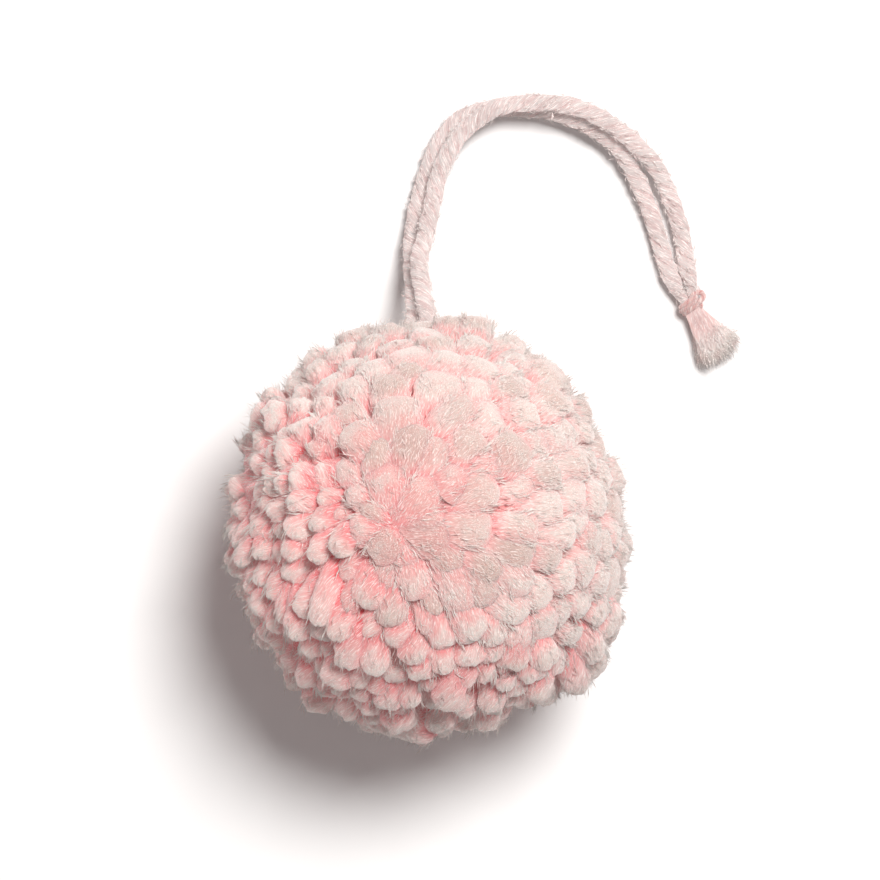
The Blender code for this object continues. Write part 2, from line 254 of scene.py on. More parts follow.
def feed(tree: bpy.types.NodeTree, node: bpy.types.Node, inputs: dict[int | str, object]) -> None:
    """Sets or joins sockets of a node.

    Args:
        tree: The nodes that it is one of.
        node: The node.
        inputs: For each socket, a plain value or the output that feeds it.
    """
    for socket, value in inputs.items():
        if isinstance(value, bpy.types.NodeSocket):
            tree.links.new(value, node.inputs[socket])
        else:
            node.inputs[socket].default_value = value


def add_node(
    tree: bpy.types.NodeTree, kind: str, inputs: dict[int | str, object], **settings: object
) -> bpy.types.Node:
    """Adds a shader node.

    Args:
        tree: The nodes that it joins.
        kind: Its type, without the ShaderNode in front.
        inputs: For sockets, a plain value or the output that feeds them.
        settings: Its own properties.

    Returns:
        The node.
    """
    node = tree.nodes.new("ShaderNode" + kind)
    for name, value in settings.items():
        setattr(node, name, value)
    feed(tree, node, inputs)
    return node


def reckon(tree: bpy.types.NodeTree, operation: str, *values: object) -> bpy.types.NodeSocket:
    """Works a number out of others, each a plain one or an output."""
    return add_node(tree, "Math", dict(enumerate(values)), operation=operation).outputs["Value"]


def blend(
    tree: bpy.types.NodeTree, factor: object, under: object, over: object, kind: str = "MIX"
) -> bpy.types.NodeSocket:
    """Blends one colour over another, each a plain one or an output."""
    inputs = {"Factor": factor, "A": under, "B": over}
    return add_node(tree, "Mix", inputs, data_type="RGBA", blend_type=kind).outputs["Result"]


def noise(tree: bpy.types.NodeTree, **inputs: object) -> bpy.types.NodeSocket:
    """Adds a noise pattern; its inputs are named as the node's sockets are."""
    return add_node(tree, "TexNoise", inputs).outputs["Fac"]


def ramp_node(
    tree: bpy.types.NodeTree, place: object, stops: tuple[tuple[float, tuple[float, ...]], ...], ease: str
) -> bpy.types.NodeSocket:
    """Adds a colour ramp.

    Args:
        tree: The nodes that it joins.
        place: The output that picks the place on the ramp.
        stops: Places with the colour there.
        ease: How it blends between them.

    Returns:
        The colour's output.
    """
    node = add_node(tree, "ValToRGB", {"Fac": place})
    node.color_ramp.interpolation = ease
    elements = node.color_ramp.elements
    while len(elements) < len(stops):
        elements.new(0.5)
    for element, (spot, colour) in zip(elements, stops):
        element.position = spot
        element.color = colour
    return node.outputs["Color"]


@dataclass(frozen=True)
class YarnFinish:
    """A finish of spun yarn: colours from deep in the pile to the cut end, darker and redder deep in the pile
    as painted shade, and its streaks of fibre.

    Attributes:
        name: The material's name.
        slot: The record's material slot; not used.
        ramp: Places from root to end with the colour there; its darker, redder low end is painted shade deep
            in the pile.
        end_shade_grey: The grey that the greyest cut ends lean to, as painted shade between fibres seen
            end-on.
        streak_scale: Streaks to a millimetre, across the strand.
        streak_depth: Depth of the streaks in the surface, in metres.
        roughness: Surface roughness.
        sheen: Weight of the soft edge light of loose fibre.
        scatter: How much light spreads under the surface.
        fibre_glint: How strongly painted highlights of single fibres pale the surface, 0 to 1.
        painted_glow: Painted glow, light that the surface gives off as if passed on from within the loose
            pile, as a share of its colour.
        value: Least value of the colours, which each strand's own tone adds to.
        tone_spread: How much it adds.
        streak_shift: How far the streaks shift the place on the ramp.
        shade_tint: What the gaps between streaks are multiplied by, as painted shade.
        glint_tint: The colour of the painted highlights on single fibres.
        bump_strength: How strongly the streaks catch the light.
    """

    name: str
    slot: str
    ramp: tuple[tuple[float, tuple[float, float, float]], ...]
    end_shade_grey: tuple[float, float, float]
    streak_scale: float
    streak_depth: float
    roughness: float = 0.92
    sheen: float = 0.6
    scatter: float = 0.35
    fibre_glint: float = 0.5
    painted_glow: float = 0.13
    value: float = 0.69
    tone_spread: float = 0.10
    streak_shift: float = 0.16
    shade_tint: tuple[float, ...] = (0.97, 0.80, 0.80, 1)
    glint_tint: tuple[float, ...] = (255, 244, 240)
    bump_strength: float = 0.8

    def material(self) -> bpy.types.Material:
        """Builds the material: a ramp along the strand that darkens deep in the pile as painted shade, then
        grey cut ends as painted shade, tone, painted shade between streaks, painted highlights of single
        fibres, and a painted glow.

        Returns:
            The new material.
        """
        made = bpy.data.materials.new(self.name)
        made.use_nodes = True
        tree = made.node_tree
        marks = {mark: add_node(tree, "Attribute", {}, attribute_name=mark.value).outputs for mark in Mark}
        streaks = add_node(tree, "Group", {}, node_tree=streak_group())
        feed(tree, streaks, {"Place": marks[Mark.PLACE]["Vector"], "Scale": self.streak_scale})
        drawn = streaks.outputs
        place = reckon(tree, "MULTIPLY_ADD", drawn["Streak"], self.streak_shift, marks[Mark.ALONG]["Fac"])
        stops = tuple((spot, srgb(*colour)) for spot, colour in self.ramp)
        # The ramp's low end is painted shade: darker and redder deep in the pile.
        colour = ramp_node(tree, place, stops, "EASE")
        # Painted shade: cut ends lean to grey.
        colour = blend(tree, marks[Mark.GREY]["Fac"], colour, srgb(*self.end_shade_grey))
        value = reckon(tree, "MULTIPLY_ADD", marks[Mark.TONE]["Fac"], self.tone_spread, self.value)
        colour = add_node(tree, "HueSaturation", {"Color": colour, "Value": value}).outputs["Color"]
        # Painted shade in the gaps between fibre streaks.
        colour = blend(tree, drawn["Shade"], colour, self.shade_tint, "MULTIPLY")
        # Painted highlights: single fibres paled towards near white, as the light that catches them.
        fibre_glint = reckon(tree, "MULTIPLY", drawn["Glint"], self.fibre_glint)
        colour = blend(tree, fibre_glint, colour, srgb(*self.glint_tint))
        inputs = {"Distance": self.streak_depth, "Strength": self.bump_strength, "Height": drawn["Height"]}
        feed(tree, tree.nodes["Principled BSDF"], {
            "Base Color": colour,
            # The emission is a painted glow, standing in for light passed on through the pile; the yarn is no
            # lamp.
            "Emission Color": colour,
            "Emission Strength": self.painted_glow,
            "Roughness": self.roughness,
            "Sheen Weight": self.sheen,
            "Sheen Roughness": 0.6,
            "Subsurface Weight": self.scatter,
            "Subsurface Radius": (1.0, 0.55, 0.5),
            "Subsurface Scale": 1.5 * MM,
            "IOR": 1.35,
            "Normal": add_node(tree, "Bump", inputs).outputs["Normal"],
        })
        return made


def streak_group() -> bpy.types.NodeTree:
    """Makes, once, the nodes that draw streaks of fibre along a strand, with painted shade between them and
    painted highlights on single fibres.

    Returns:
        The group, with the outputs Streak, Shade, Frost and Height.
    """
    name = "strand_streaks"
    if name in bpy.data.node_groups:
        return bpy.data.node_groups[name]
    group = bpy.data.node_groups.new(name, "ShaderNodeTree")
    group.interface.new_socket("Place", in_out="INPUT", socket_type="NodeSocketVector")
    group.interface.new_socket("Scale", in_out="INPUT", socket_type="NodeSocketFloat")
    for output in ("Streak", "Shade", "Glint", "Height"):
        group.interface.new_socket(output, in_out="OUTPUT", socket_type="NodeSocketFloat")
    given, out = group.nodes.new("NodeGroupInput").outputs, group.nodes.new("NodeGroupOutput")
    squeezed = {0: given["Place"], 1: (1.0, 1.0, 0.13)}
    drawn = add_node(group, "VectorMath", squeezed, operation="MULTIPLY").outputs["Vector"]
    fine = noise(group, Vector=drawn, Scale=given["Scale"], Detail=3.0, Roughness=0.6)
    broad = noise(group, Vector=given["Place"], Scale=0.9, Detail=1.0)
    single = noise(group, Vector=drawn, Scale=7.0, Detail=1.0)
    # Painted shade between streaks.
    shade = {"Value": fine, "From Min": 0.58, "From Max": 0.34, "To Max": 0.7}
    # Painted highlights of single fibres.
    fibre_glint = {"Value": single, "From Min": 0.54, "From Max": 0.68}
    centred = [reckon(group, "SUBTRACT", pattern, 0.5) for pattern in (broad, fine)]
    feed(group, out, {
        "Streak": reckon(group, "ADD", *centred),
        "Shade": add_node(group, "MapRange", shade).outputs["Result"],
        "Glint": add_node(group, "MapRange", fibre_glint).outputs["Result"],
        "Height": fine,
    })
    return group


@dataclass(frozen=True)
class FibreKind:
    """One kind of loose fibre on a strand.

    Attributes:
        share: What share of all fibres it makes up.
        length: Least and most length, in metres.
        start: Least and most place along the strand where it starts.
        lift: Least and most slope away from the strand.
        swirl: Mean and spread of its slope round the strand.
        curl: How far its last half strays.
        across: Least and most place across the cut end, squared; none for one that starts on the skin.
    """

    share: float
    length: tuple[float, float]
    start: tuple[float, float]
    lift: tuple[float, float]
    swirl: tuple[float, float]
    curl: float
    across: tuple[float, float] | None = None


@dataclass(frozen=True)
class Fibre:
    """The loose fibre on strands.

    Attributes:
        kinds: Nap along the yarn, brushed fibre on its cut end, webs to the next strand, and strays.
        thickness: Radius of one fibre at its middle, in metres.
        pile: How far over the cut of a trimmed strand they stand at least.
        skin: Where on the strand's radius those that lie along it start.
        spun_lift: How much less the nap stands off a spun strand.
    """

    kinds: tuple[FibreKind, ...] = (
        FibreKind(0.56, (1.2 * MM, 2.6 * MM), (0.42, 0.94), (0.0, 0.42), (0.1, 0.28), 0.15),
        FibreKind(0.22, (0.25 * MM, 0.7 * MM), (0.86, 0.98), (0.0, 0.7), (0.0, 0.2), 0.15, (0.0, 0.95)),
        FibreKind(0.2, (1.4 * MM, 2.6 * MM), (0.45, 0.92), (0.1, 0.65), (0.0, 0.8), 0.25),
        FibreKind(0.02, (0.8 * MM, 1.7 * MM), (0.6, 0.95), (0.1, 0.8), (0.0, 0.5), 0.25, (0.2, 0.95)),
    )
    thickness: float = 0.015 * MM
    pile: float = 0.12 * MM
    skin: float = 0.95
    spun_lift: float = 0.6

    def resized(self, thickness: float, *lengths: tuple[float, float]) -> "Fibre":
        """Returns the same fibre in another thickness and, kind by kind, other lengths."""
        kinds = tuple(replace(kind, length=length) for kind, length in zip(self.kinds, lengths))
        return replace(self, kinds=kinds, thickness=thickness)


@dataclass(frozen=True)
class Trim:
    """Where strands are cut off flush with the ball.

    Attributes:
        middle: The middle of the ball, in metres.
        reach: How far from it each strand is cut.
        share: How cleanly each is cut there, 0 for one that keeps its round end and 1 for a flush one.
        left: What share of the yarn past the cut is left standing.
    """

    middle: np.ndarray
    reach: np.ndarray
    share: np.ndarray
    left: float = 0.4

    def cut(self, which: np.ndarray, points: np.ndarray, extra: float = 0.0) -> tuple[np.ndarray, np.ndarray]:
        """Draws points of strands that stand past the cut back to it.

        Args:
            which: Numbers of strands.
            points: A place on each.
            extra: How far over the cut they still may stand, in metres.

        Returns:
            The new places, and how far past the cut the old ones were.
        """
        out = points - self.middle
        past = np.linalg.norm(out, axis=-1) - self.reach[which]
        taken = np.maximum(past - extra, 0) * (1 - self.left) * self.share[which]
        return points - unit(out) * taken[..., None], past


@dataclass
class Strands:
    """Plump ends of yarn, each on its own bent line, with the loose fibre that stands off them.

    Attributes:
        roots: Where each strand starts, in metres.
        bends: The point that each strand's line bends towards.
        tips: Where each strand ends.
        widths: Each strand's radius at its fullest, in metres.
        twisted: How much each one keeps its spun shape, 0 for a brushed one and 1 for a spun one.
        plied: How clearly each one's twisted plies show, 0 to 1.
        grey_end_shade: How grey each one's cut end is painted, as shade between its fibres seen end-on, 0 to
            1.
        blush: How far down each one its colours are taken from, as a share of its length.
        fuzzy: What share of the loose fibre each one carries.
        contact_shade: How far down the ramp, into darker painted shade, its colours are taken where it
            touches another one.
        seed: Which set of irregularities.
        trim: Where they are cut flush, if they are.
        sides: Corners round each one.
        floor: Least height of their surface.
        ring_places: Where the rings of corners lie, 0 at the root and 1 at the tip.
        spun_widths: The radius at those rings for a spun one, as a share of its fullest.
        brushed_widths: The same for a brushed one.
        turn_length: Length of one full turn of the twist.
        plies: How many plies are twisted together.
        ply_rise: How far the plies' crests stand out, as a share of the radius.
        ply_level: How far the whole surface is let in for that.
        ridge: Depth of the long ridges at the root, and how much deeper they are at the tip.
        ripple: Depth of the ripples along it, and how many radians of them lie in a metre.
        ragged: How unevenly the end is cut, in metres.
        neighbours: How many of the nearest ones count in what touches.
        crown: How far the end bulges, as a share of the radius.
        cut_colour: Where on the ramp a flush end's cut, its face and each millimetre below it are taken; the
            deeper below the cut, the darker, as painted shade.
        ply_shade: How far down the ramp the valleys between plies are painted, as painted shade.
        paler: How much paler than its own tone each one is, as painted light; none at first.
    """

    roots: np.ndarray
    bends: np.ndarray
    tips: np.ndarray
    widths: np.ndarray
    twisted: np.ndarray
    plied: np.ndarray
    grey_end_shade: np.ndarray
    blush: np.ndarray
    fuzzy: np.ndarray
    contact_shade: np.ndarray
    seed: int
    trim: Trim | None = None
    sides: int = 14
    floor: float = 0.03 * MM
    ring_places: tuple[float, ...] = (0.0, 0.22, 0.42, 0.57, 0.69, 0.78, 0.85, 0.905, 0.945, 0.973, 0.99, 1.0)
    spun_widths: tuple[float, ...] = (0.7, 0.78, 0.86, 0.93, 0.98, 1.0, 1.0, 0.95, 0.84, 0.68, 0.48, 0.25)
    brushed_widths: tuple[float, ...] = (0.8, 0.88, 0.95, 1.0, 1.0, 0.98, 0.94, 0.87, 0.77, 0.64, 0.47, 0.25)
    turn_length: float = 9.5 * MM
    plies: int = 3
    ply_rise: float = 0.34
    ply_level: float = 0.22
    ridge: tuple[float, float] = (0.07, 0.1)
    ripple: tuple[float, float] = (0.035, 2100)
    ragged: float = 0.32 * MM
    neighbours: int = 14
    crown: float = 0.05
    cut_colour: tuple[float, float, float] = (0.7, 0.24, 0.1)
    ply_shade: float = 0.16

    def __post_init__(self) -> None:
        """Draws each strand's own turn, tone and irregularity."""
        chance = np.random.default_rng(self.seed)
        count = len(self.tips)
        self.reference = unit(chance.normal(size=(count, 3)))
        self.tones = chance.uniform(0, 1, count)
        self.paler = np.zeros(count)
        self.turns = chance.uniform(0, 2 * math.pi, count)
        self.ridges = chance.uniform(-1, 1, (count, self.sides))
        self.cuts = chance.uniform(-1, 1, (count, self.sides))
        self.lengths = np.linalg.norm(self.tips - self.roots, axis=1)

    def line(self, which: np.ndarray, along: np.ndarray) -> tuple[np.ndarray, np.ndarray]:
        """Finds places and directions on strands' lines; past 1 a line goes straight on.

        Args:
            which: Numbers of strands.
            along: How far along each, 0 at its root and 1 at its tip.

        Returns:
            The places and the directions.
        """
        inside = np.minimum(along, 1.0)[..., None]
        root, bend, tip = self.roots[which], self.bends[which], self.tips[which]
        place = root * (1 - inside) ** 2 + bend * 2 * inside * (1 - inside) + tip * inside**2
        way = unit((bend - root) * (1 - inside) + (tip - bend) * inside)
        past = np.maximum(along - 1.0, 0)[..., None] * self.lengths[which][..., None]
        return place + way * past, way

    def across(self, which: np.ndarray, way: np.ndarray) -> tuple[np.ndarray, np.ndarray]:
        """Finds two directions square to strands' ways and to each other.

        Args:
            which: Numbers of strands.
            way: A direction of each.

        Returns:
            The two directions for each.
        """
        reference = self.reference[which]
        side = unit(reference - way * (reference * way).sum(-1, keepdims=True))
        return side, np.cross(way, side)

    def radius(self, which: np.ndarray, along: np.ndarray) -> np.ndarray:
        """Finds strands' smooth radius, between that of the spun and of the brushed shape.

        Args:
            which: Numbers of strands.
            along: How far along each, 0 to 1.

        Returns:
            The radius there, in metres.
        """
        spun = np.interp(along, self.ring_places, self.spun_widths)
        brushed = np.interp(along, self.ring_places, self.brushed_widths)
        return (brushed + (spun - brushed) * self.twisted[which]) * self.widths[which]

    def room_round(self, points: np.ndarray) -> np.ndarray:
        """Measures how far points of each strand's skin are from the nearest other strand.

        Args:
            points: Places, first by strand.

        Returns:
            The distance of each to another strand's skin, in metres.
        """
        count, checked, near_tip = len(self.tips), 9, 6
        along = np.tile(np.linspace(0.3, 1.0, checked), (count, 1))
        which = np.arange(count)[:, None].repeat(checked, 1)
        cores, _ = self.line(which, along)
        sizes = self.radius(which, along)
        middles = cores[:, near_tip]
        room = np.zeros(points.shape[:2])
        for strand in range(count):
            apart = np.linalg.norm(middles - middles[strand], axis=1)
            near = np.argsort(apart)[1 : self.neighbours + 1]
            centres, reach = cores[near].reshape(-1, 3), sizes[near].ravel()
            gaps = np.linalg.norm(points[strand][:, None] - centres[None], axis=-1) - reach
            room[strand] = gaps.min(1)
        return room

    def mesh(
        self, name: str, material: bpy.types.Material, softness: Softness | None = None
    ) -> bpy.types.Object:
        """Builds every strand as a closed, ridged body with a blunt, ragged end.

        Args:
            name: The object's name.
            material: Its finish.
            softness: How its shading is evened out, if it is.

        Returns:
            The object.
        """
        count, rings, sides = len(self.tips), len(self.ring_places), self.sides
        which = np.arange(count)[:, None].repeat(rings, 1)
        along = np.tile(np.array(self.ring_places), (count, 1))
        place, way = self.line(which, along)
        side, other = self.across(which, way)
        distance = along * self.lengths[:, None]
        angle = np.arange(sides) * 2 * math.pi / sides
        turn = self.turns[:, None, None] + distance[..., None] / self.turn_length * 2 * math.pi
        plies = np.abs(np.cos(self.plies / 2 * (angle - turn)))
        plied = self.plied[:, None, None]
        shallow, gain = self.ridge
        ridge = self.ridges[:, None] * (shallow + gain * smoothstep(0.6, 1.0, along))[..., None]
        height, pace = self.ripple
        ripple = np.sin(distance * pace + self.turns[:, None] * 3)[..., None] * height
        depth = plied * (self.ply_rise * plies - self.ply_level)
        radius = self.radius(which, along)[..., None] * (1 + ridge + ripple + depth)
        ragged = self.cuts[:, None] * (smoothstep(0.86, 1.0, along) * self.ragged)[..., None]
        points = (
            place[:, :, None]
            + side[:, :, None] * (np.cos(angle)[:, None] * radius[..., None])
            + other[:, :, None] * (np.sin(angle)[:, None] * radius[..., None])
            + way[:, :, None] * ragged[..., None]
        )
        flush, past = np.zeros((count, 1, 1)), np.zeros(radius.shape)
        if self.trim:
            points, past = self.trim.cut(np.arange(count)[:, None, None], points)
            flush = self.trim.share[:, None, None]
        room = self.room_round(points.reshape(count, -1, 3)).reshape(radius.shape)
        marks = self.marks(along[..., None], plies, flush, past, room)
        untwisted = angle - turn * plied
        level = np.broadcast_to(distance[..., None], radius.shape)
        own = np.stack((np.cos(untwisted) * radius, np.sin(untwisted) * radius, level), -1) / MM
        own += self.turns[:, None, None, None] * 40 + np.array((0, 11, 23)) * self.tones[:, None, None, None]
        marks[Mark.PLACE] = own.reshape(-1, 3)
        crowns = points[:, -1].mean(1) + way[:, -1] * self.crown * self.widths[:, None]
        ends = np.concatenate((points[:, 0].mean(1), crowns))
        return tube_mesh(name, points, ends, marks, self.floor, material, softness)

    def marks(
        self, along: np.ndarray, plies: np.ndarray, flush: np.ndarray, past: np.ndarray, room: np.ndarray
    ) -> Marks:
        """Works out each corner's place on the colour ramp, lower and so darker as painted shade deep in the
        pile, in ply valleys and where strands touch; its tone, paler as painted light where set; and the grey
        painted as shade on its cut end.

        Args:
            along: How far along its strand it lies, 0 to 1.
            plies: How near a ply's crest it is, 0 to 1.
            flush: How cleanly its strand is cut, 0 to 1.
            past: How far past the cut it stood, in metres.
            room: How far from another strand it is, in metres.

        Returns:
            Those values, one for each corner.
        """
        cut, face_gain, loss = self.cut_colour
        face = smoothstep(-0.8 * MM, 1.8 * MM, past)
        sunk = np.clip(-past / MM, 0, 5)
        # Painted shade: lower on the ramp, so darker and redder, the deeper in the pile or below a flush cut.
        depth = along * (1 - flush) + (cut + face_gain * face - loss * sunk) * flush
        # Painted shade in the valleys between plies.
        depth = depth - self.blush[:, None, None] - self.ply_shade * self.plied[:, None, None] * (1 - plies)
        # Painted shade where strands touch: colours taken further down the ramp.
        depth = depth - self.contact_shade[:, None, None] * (1 - smoothstep(-0.2 * MM, 1.3 * MM, room))
        # Painted shade: cut ends greyed, as the shade between fibres seen end-on.
        grey = smoothstep(0.8, 0.94, along) * (1 - flush) + smoothstep(0.4 * MM, 2.6 * MM, past) * flush
        return {
            Mark.ALONG: np.clip(depth, 0, 1),
            Mark.TONE: np.broadcast_to((self.tones + self.paler)[:, None, None], past.shape),
            Mark.GREY: self.grey_end_shade[:, None, None] * grey,
        }

    def fuzz(self, count: int, seed: int, fibre: Fibre) -> tuple[np.ndarray, Marks]:
        """Draws loose fibres: nap along the strands, brushed ends, webs between neighbours, and strays.

        Args:
            count: How many fibres.
            seed: Which set.
            fibre: Their sizes.

        Returns:
            Three points for each fibre, and the values that their finish reads.
        """
        chance = np.random.default_rng(seed)
        which = chance.choice(len(self.tips), count, p=self.fuzzy / self.fuzzy.sum())
        kinds = fibre.kinds
        chosen = np.searchsorted(np.cumsum([kind.share for kind in kinds])[:-1], chance.uniform(0, 1, count))

        def each(values: list[float | np.ndarray]) -> np.ndarray:
            """Picks, for each fibre, the value for its kind."""
            return np.choose(chosen, [np.broadcast_to(value, count) for value in values])

        def within(low: float, high: float) -> np.ndarray:
            """Draws one value for each fibre."""
            return chance.uniform(low, high, count)

        start = each([within(*kind.start) for kind in kinds])
        inset = each([np.sqrt(within(*kind.across)) if kind.across else fibre.skin for kind in kinds])
        length = each([within(*kind.length) for kind in kinds])
        nap, brush, *others = [within(*kind.lift) for kind in kinds]
        lift = each([nap * (1 - fibre.spun_lift * self.twisted[which]), brush * inset, *others])
        swirl = each([chance.normal(*kind.swirl, count) for kind in kinds])
        curl = each([kind.curl for kind in kinds])
        angle = within(0, 2 * math.pi)
        place, way = self.line(which, start)
        side, other = self.across(which, way)
        outward = side * np.cos(angle)[:, None] + other * np.sin(angle)[:, None]
        base = place + outward * (self.radius(which, start) * inset)[:, None]
        lean = chance.normal(0, 1, (count, 3))
        swirled = np.cross(way, outward) * swirl[:, None]
        first_way = unit(way + outward * lift[:, None] + swirled + lean * 0.1)
        middle = base + first_way * (length * 0.5)[:, None]
        end_along = start + length / self.lengths[which]
        _, end_way = self.line(which, end_along)
        last_way = unit(end_way + outward * (lift * 0.7 - 0.1)[:, None] + swirled + lean * curl[:, None])
        lines = np.stack((base, middle, middle + last_way * (length * 0.5)[:, None]), axis=1)
        if self.trim:
            lines, _ = self.trim.cut(which[:, None], lines, fibre.pile)
        lines[..., 2] = np.maximum(lines[..., 2], self.floor + fibre.thickness)
        ends_at = np.stack((start, (start + end_along) / 2, end_along), axis=1)
        marks = {
            Mark.ALONG: np.clip(ends_at - self.blush[which][:, None], 0, 1),
            Mark.TONE: np.repeat((chance.uniform(0, 1, count) + self.paler[which])[:, None], 3, 1),
            # Painted shade: fibre ends greyed like the cut ends.
            Mark.GREY: self.grey_end_shade[which][:, None] * smoothstep(0.82, 0.96, ends_at),
        }
        return lines, marks


def fibre_mesh(
    name: str,
    lines: np.ndarray,
    marks: Marks,
    thickness: float,
    material: bpy.types.Material,
    softness: Softness | None = None,
) -> bpy.types.Object:
    """Makes fibres as closed slivers of four faces, pointed at both ends, along lines of three points.

    Args:
        name: The object's name.
        lines: Three points for each fibre.
        marks: Values at those points that the finish reads.
        thickness: Radius at the middle, in metres.
        material: The finish.
        softness: How their shading is evened out, if it is.

    Returns:
        The object.
    """
    count = len(lines)
    bow = lines[:, 1] - (lines[:, 0] + lines[:, 2]) / 2
    side = unit(np.cross(lines[:, 2] - lines[:, 0], bow)) * thickness
    lifted = lines[:, 1] + unit(bow) * (thickness * 0.7)
    points = np.stack((lines[:, 0], lifted + side, lifted - side, lines[:, 2]), axis=1)
    first = np.arange(count)[:, None] * 4
    faces = np.concatenate([first + np.array(face) for face in ((0, 1, 2), (3, 2, 1), (0, 3, 1), (0, 2, 3))])
    corner_of = np.array((0, 1, 1, 2))
    carried = {mark: values[:, corner_of].ravel() for mark, values in marks.items()}
    carried[Mark.PLACE] = (points / MM).reshape(-1, 3) * 0.7
    return add_mesh(name, points.reshape(-1, 3), [faces], carried, material, softness)


@dataclass(frozen=True)
class Swell:
    """A swell or hollow of the trimmed ball.

    Attributes:
        azimuth: Its direction, in degrees round from the right.
        elevation: How far over the level it lies, in degrees.
        width: How far it spreads, in degrees.
        extra: How much further out it lies, in metres.
    """

    azimuth: float
    elevation: float
    width: float
    extra: float


@dataclass(frozen=True)
class Parting:
    """A parting between clumps of yarn, seen from above.

    Attributes:
        line: Its points in millimetres, x and y.
        push: How far the ends beside it stand back, in metres.
        fade: How far from it they still do.
    """

    line: tuple[tuple[float, float], ...]
    push: float
    fade: float


@dataclass(frozen=True)
class OverheadView:
    """The view from straight above: where a point of the 880 pixel frame lies on the ball.

    Attributes:
        eye: The camera's place, in metres.
        middle: Middle of the frame, in pixels.
        focal: Pixels to a metre, one metre away.
    """

    eye: tuple[float, float, float] = (2.15 * MM, 13.46 * MM, 0.682)
    middle: float = 440.0
    focal: float = 4228.0

    def rays(self, seen: np.ndarray) -> np.ndarray:
        """Returns the directions in which points of the frame are seen."""
        flat = (seen - self.middle) / self.focal
        return unit(np.stack((flat[:, 0], -flat[:, 1], np.full(len(flat), -1.0)), axis=1))


# Cut ends that stand out in the photograph's frame of 880 by 880 pixels, x and y.
ENDS_SEEN = (
    (477, 325), (452, 319), (514, 344), (340, 347), (371, 341), (399, 339), (435, 341), (314, 367),
    (292, 378), (261, 402), (546, 375), (514, 386), (442, 379), (410, 367), (390, 381), (396, 406),
    (345, 410), (463, 406), (528, 412), (553, 398), (354, 434), (373, 445), (413, 434), (316, 440),
    (438, 448), (472, 440), (516, 445), (553, 473), (581, 462), (427, 490), (486, 490), (528, 487),
    (371, 513), (385, 549), (435, 524), (438, 541), (480, 527), (528, 527), (528, 555), (452, 566),
    (491, 569), (598, 541), (556, 557), (435, 608), (368, 604), (393, 622), (342, 633), (371, 639),
    (317, 499), (292, 479), (267, 487), (255, 538), (258, 560), (289, 563), (314, 563), (342, 552),
    (303, 611), (326, 616), (357, 684), (413, 661), (446, 670), (404, 726), (449, 701), (488, 706),
    (488, 684), (516, 667), (547, 659), (533, 692), (253, 437), (278, 454), (486, 597),
)


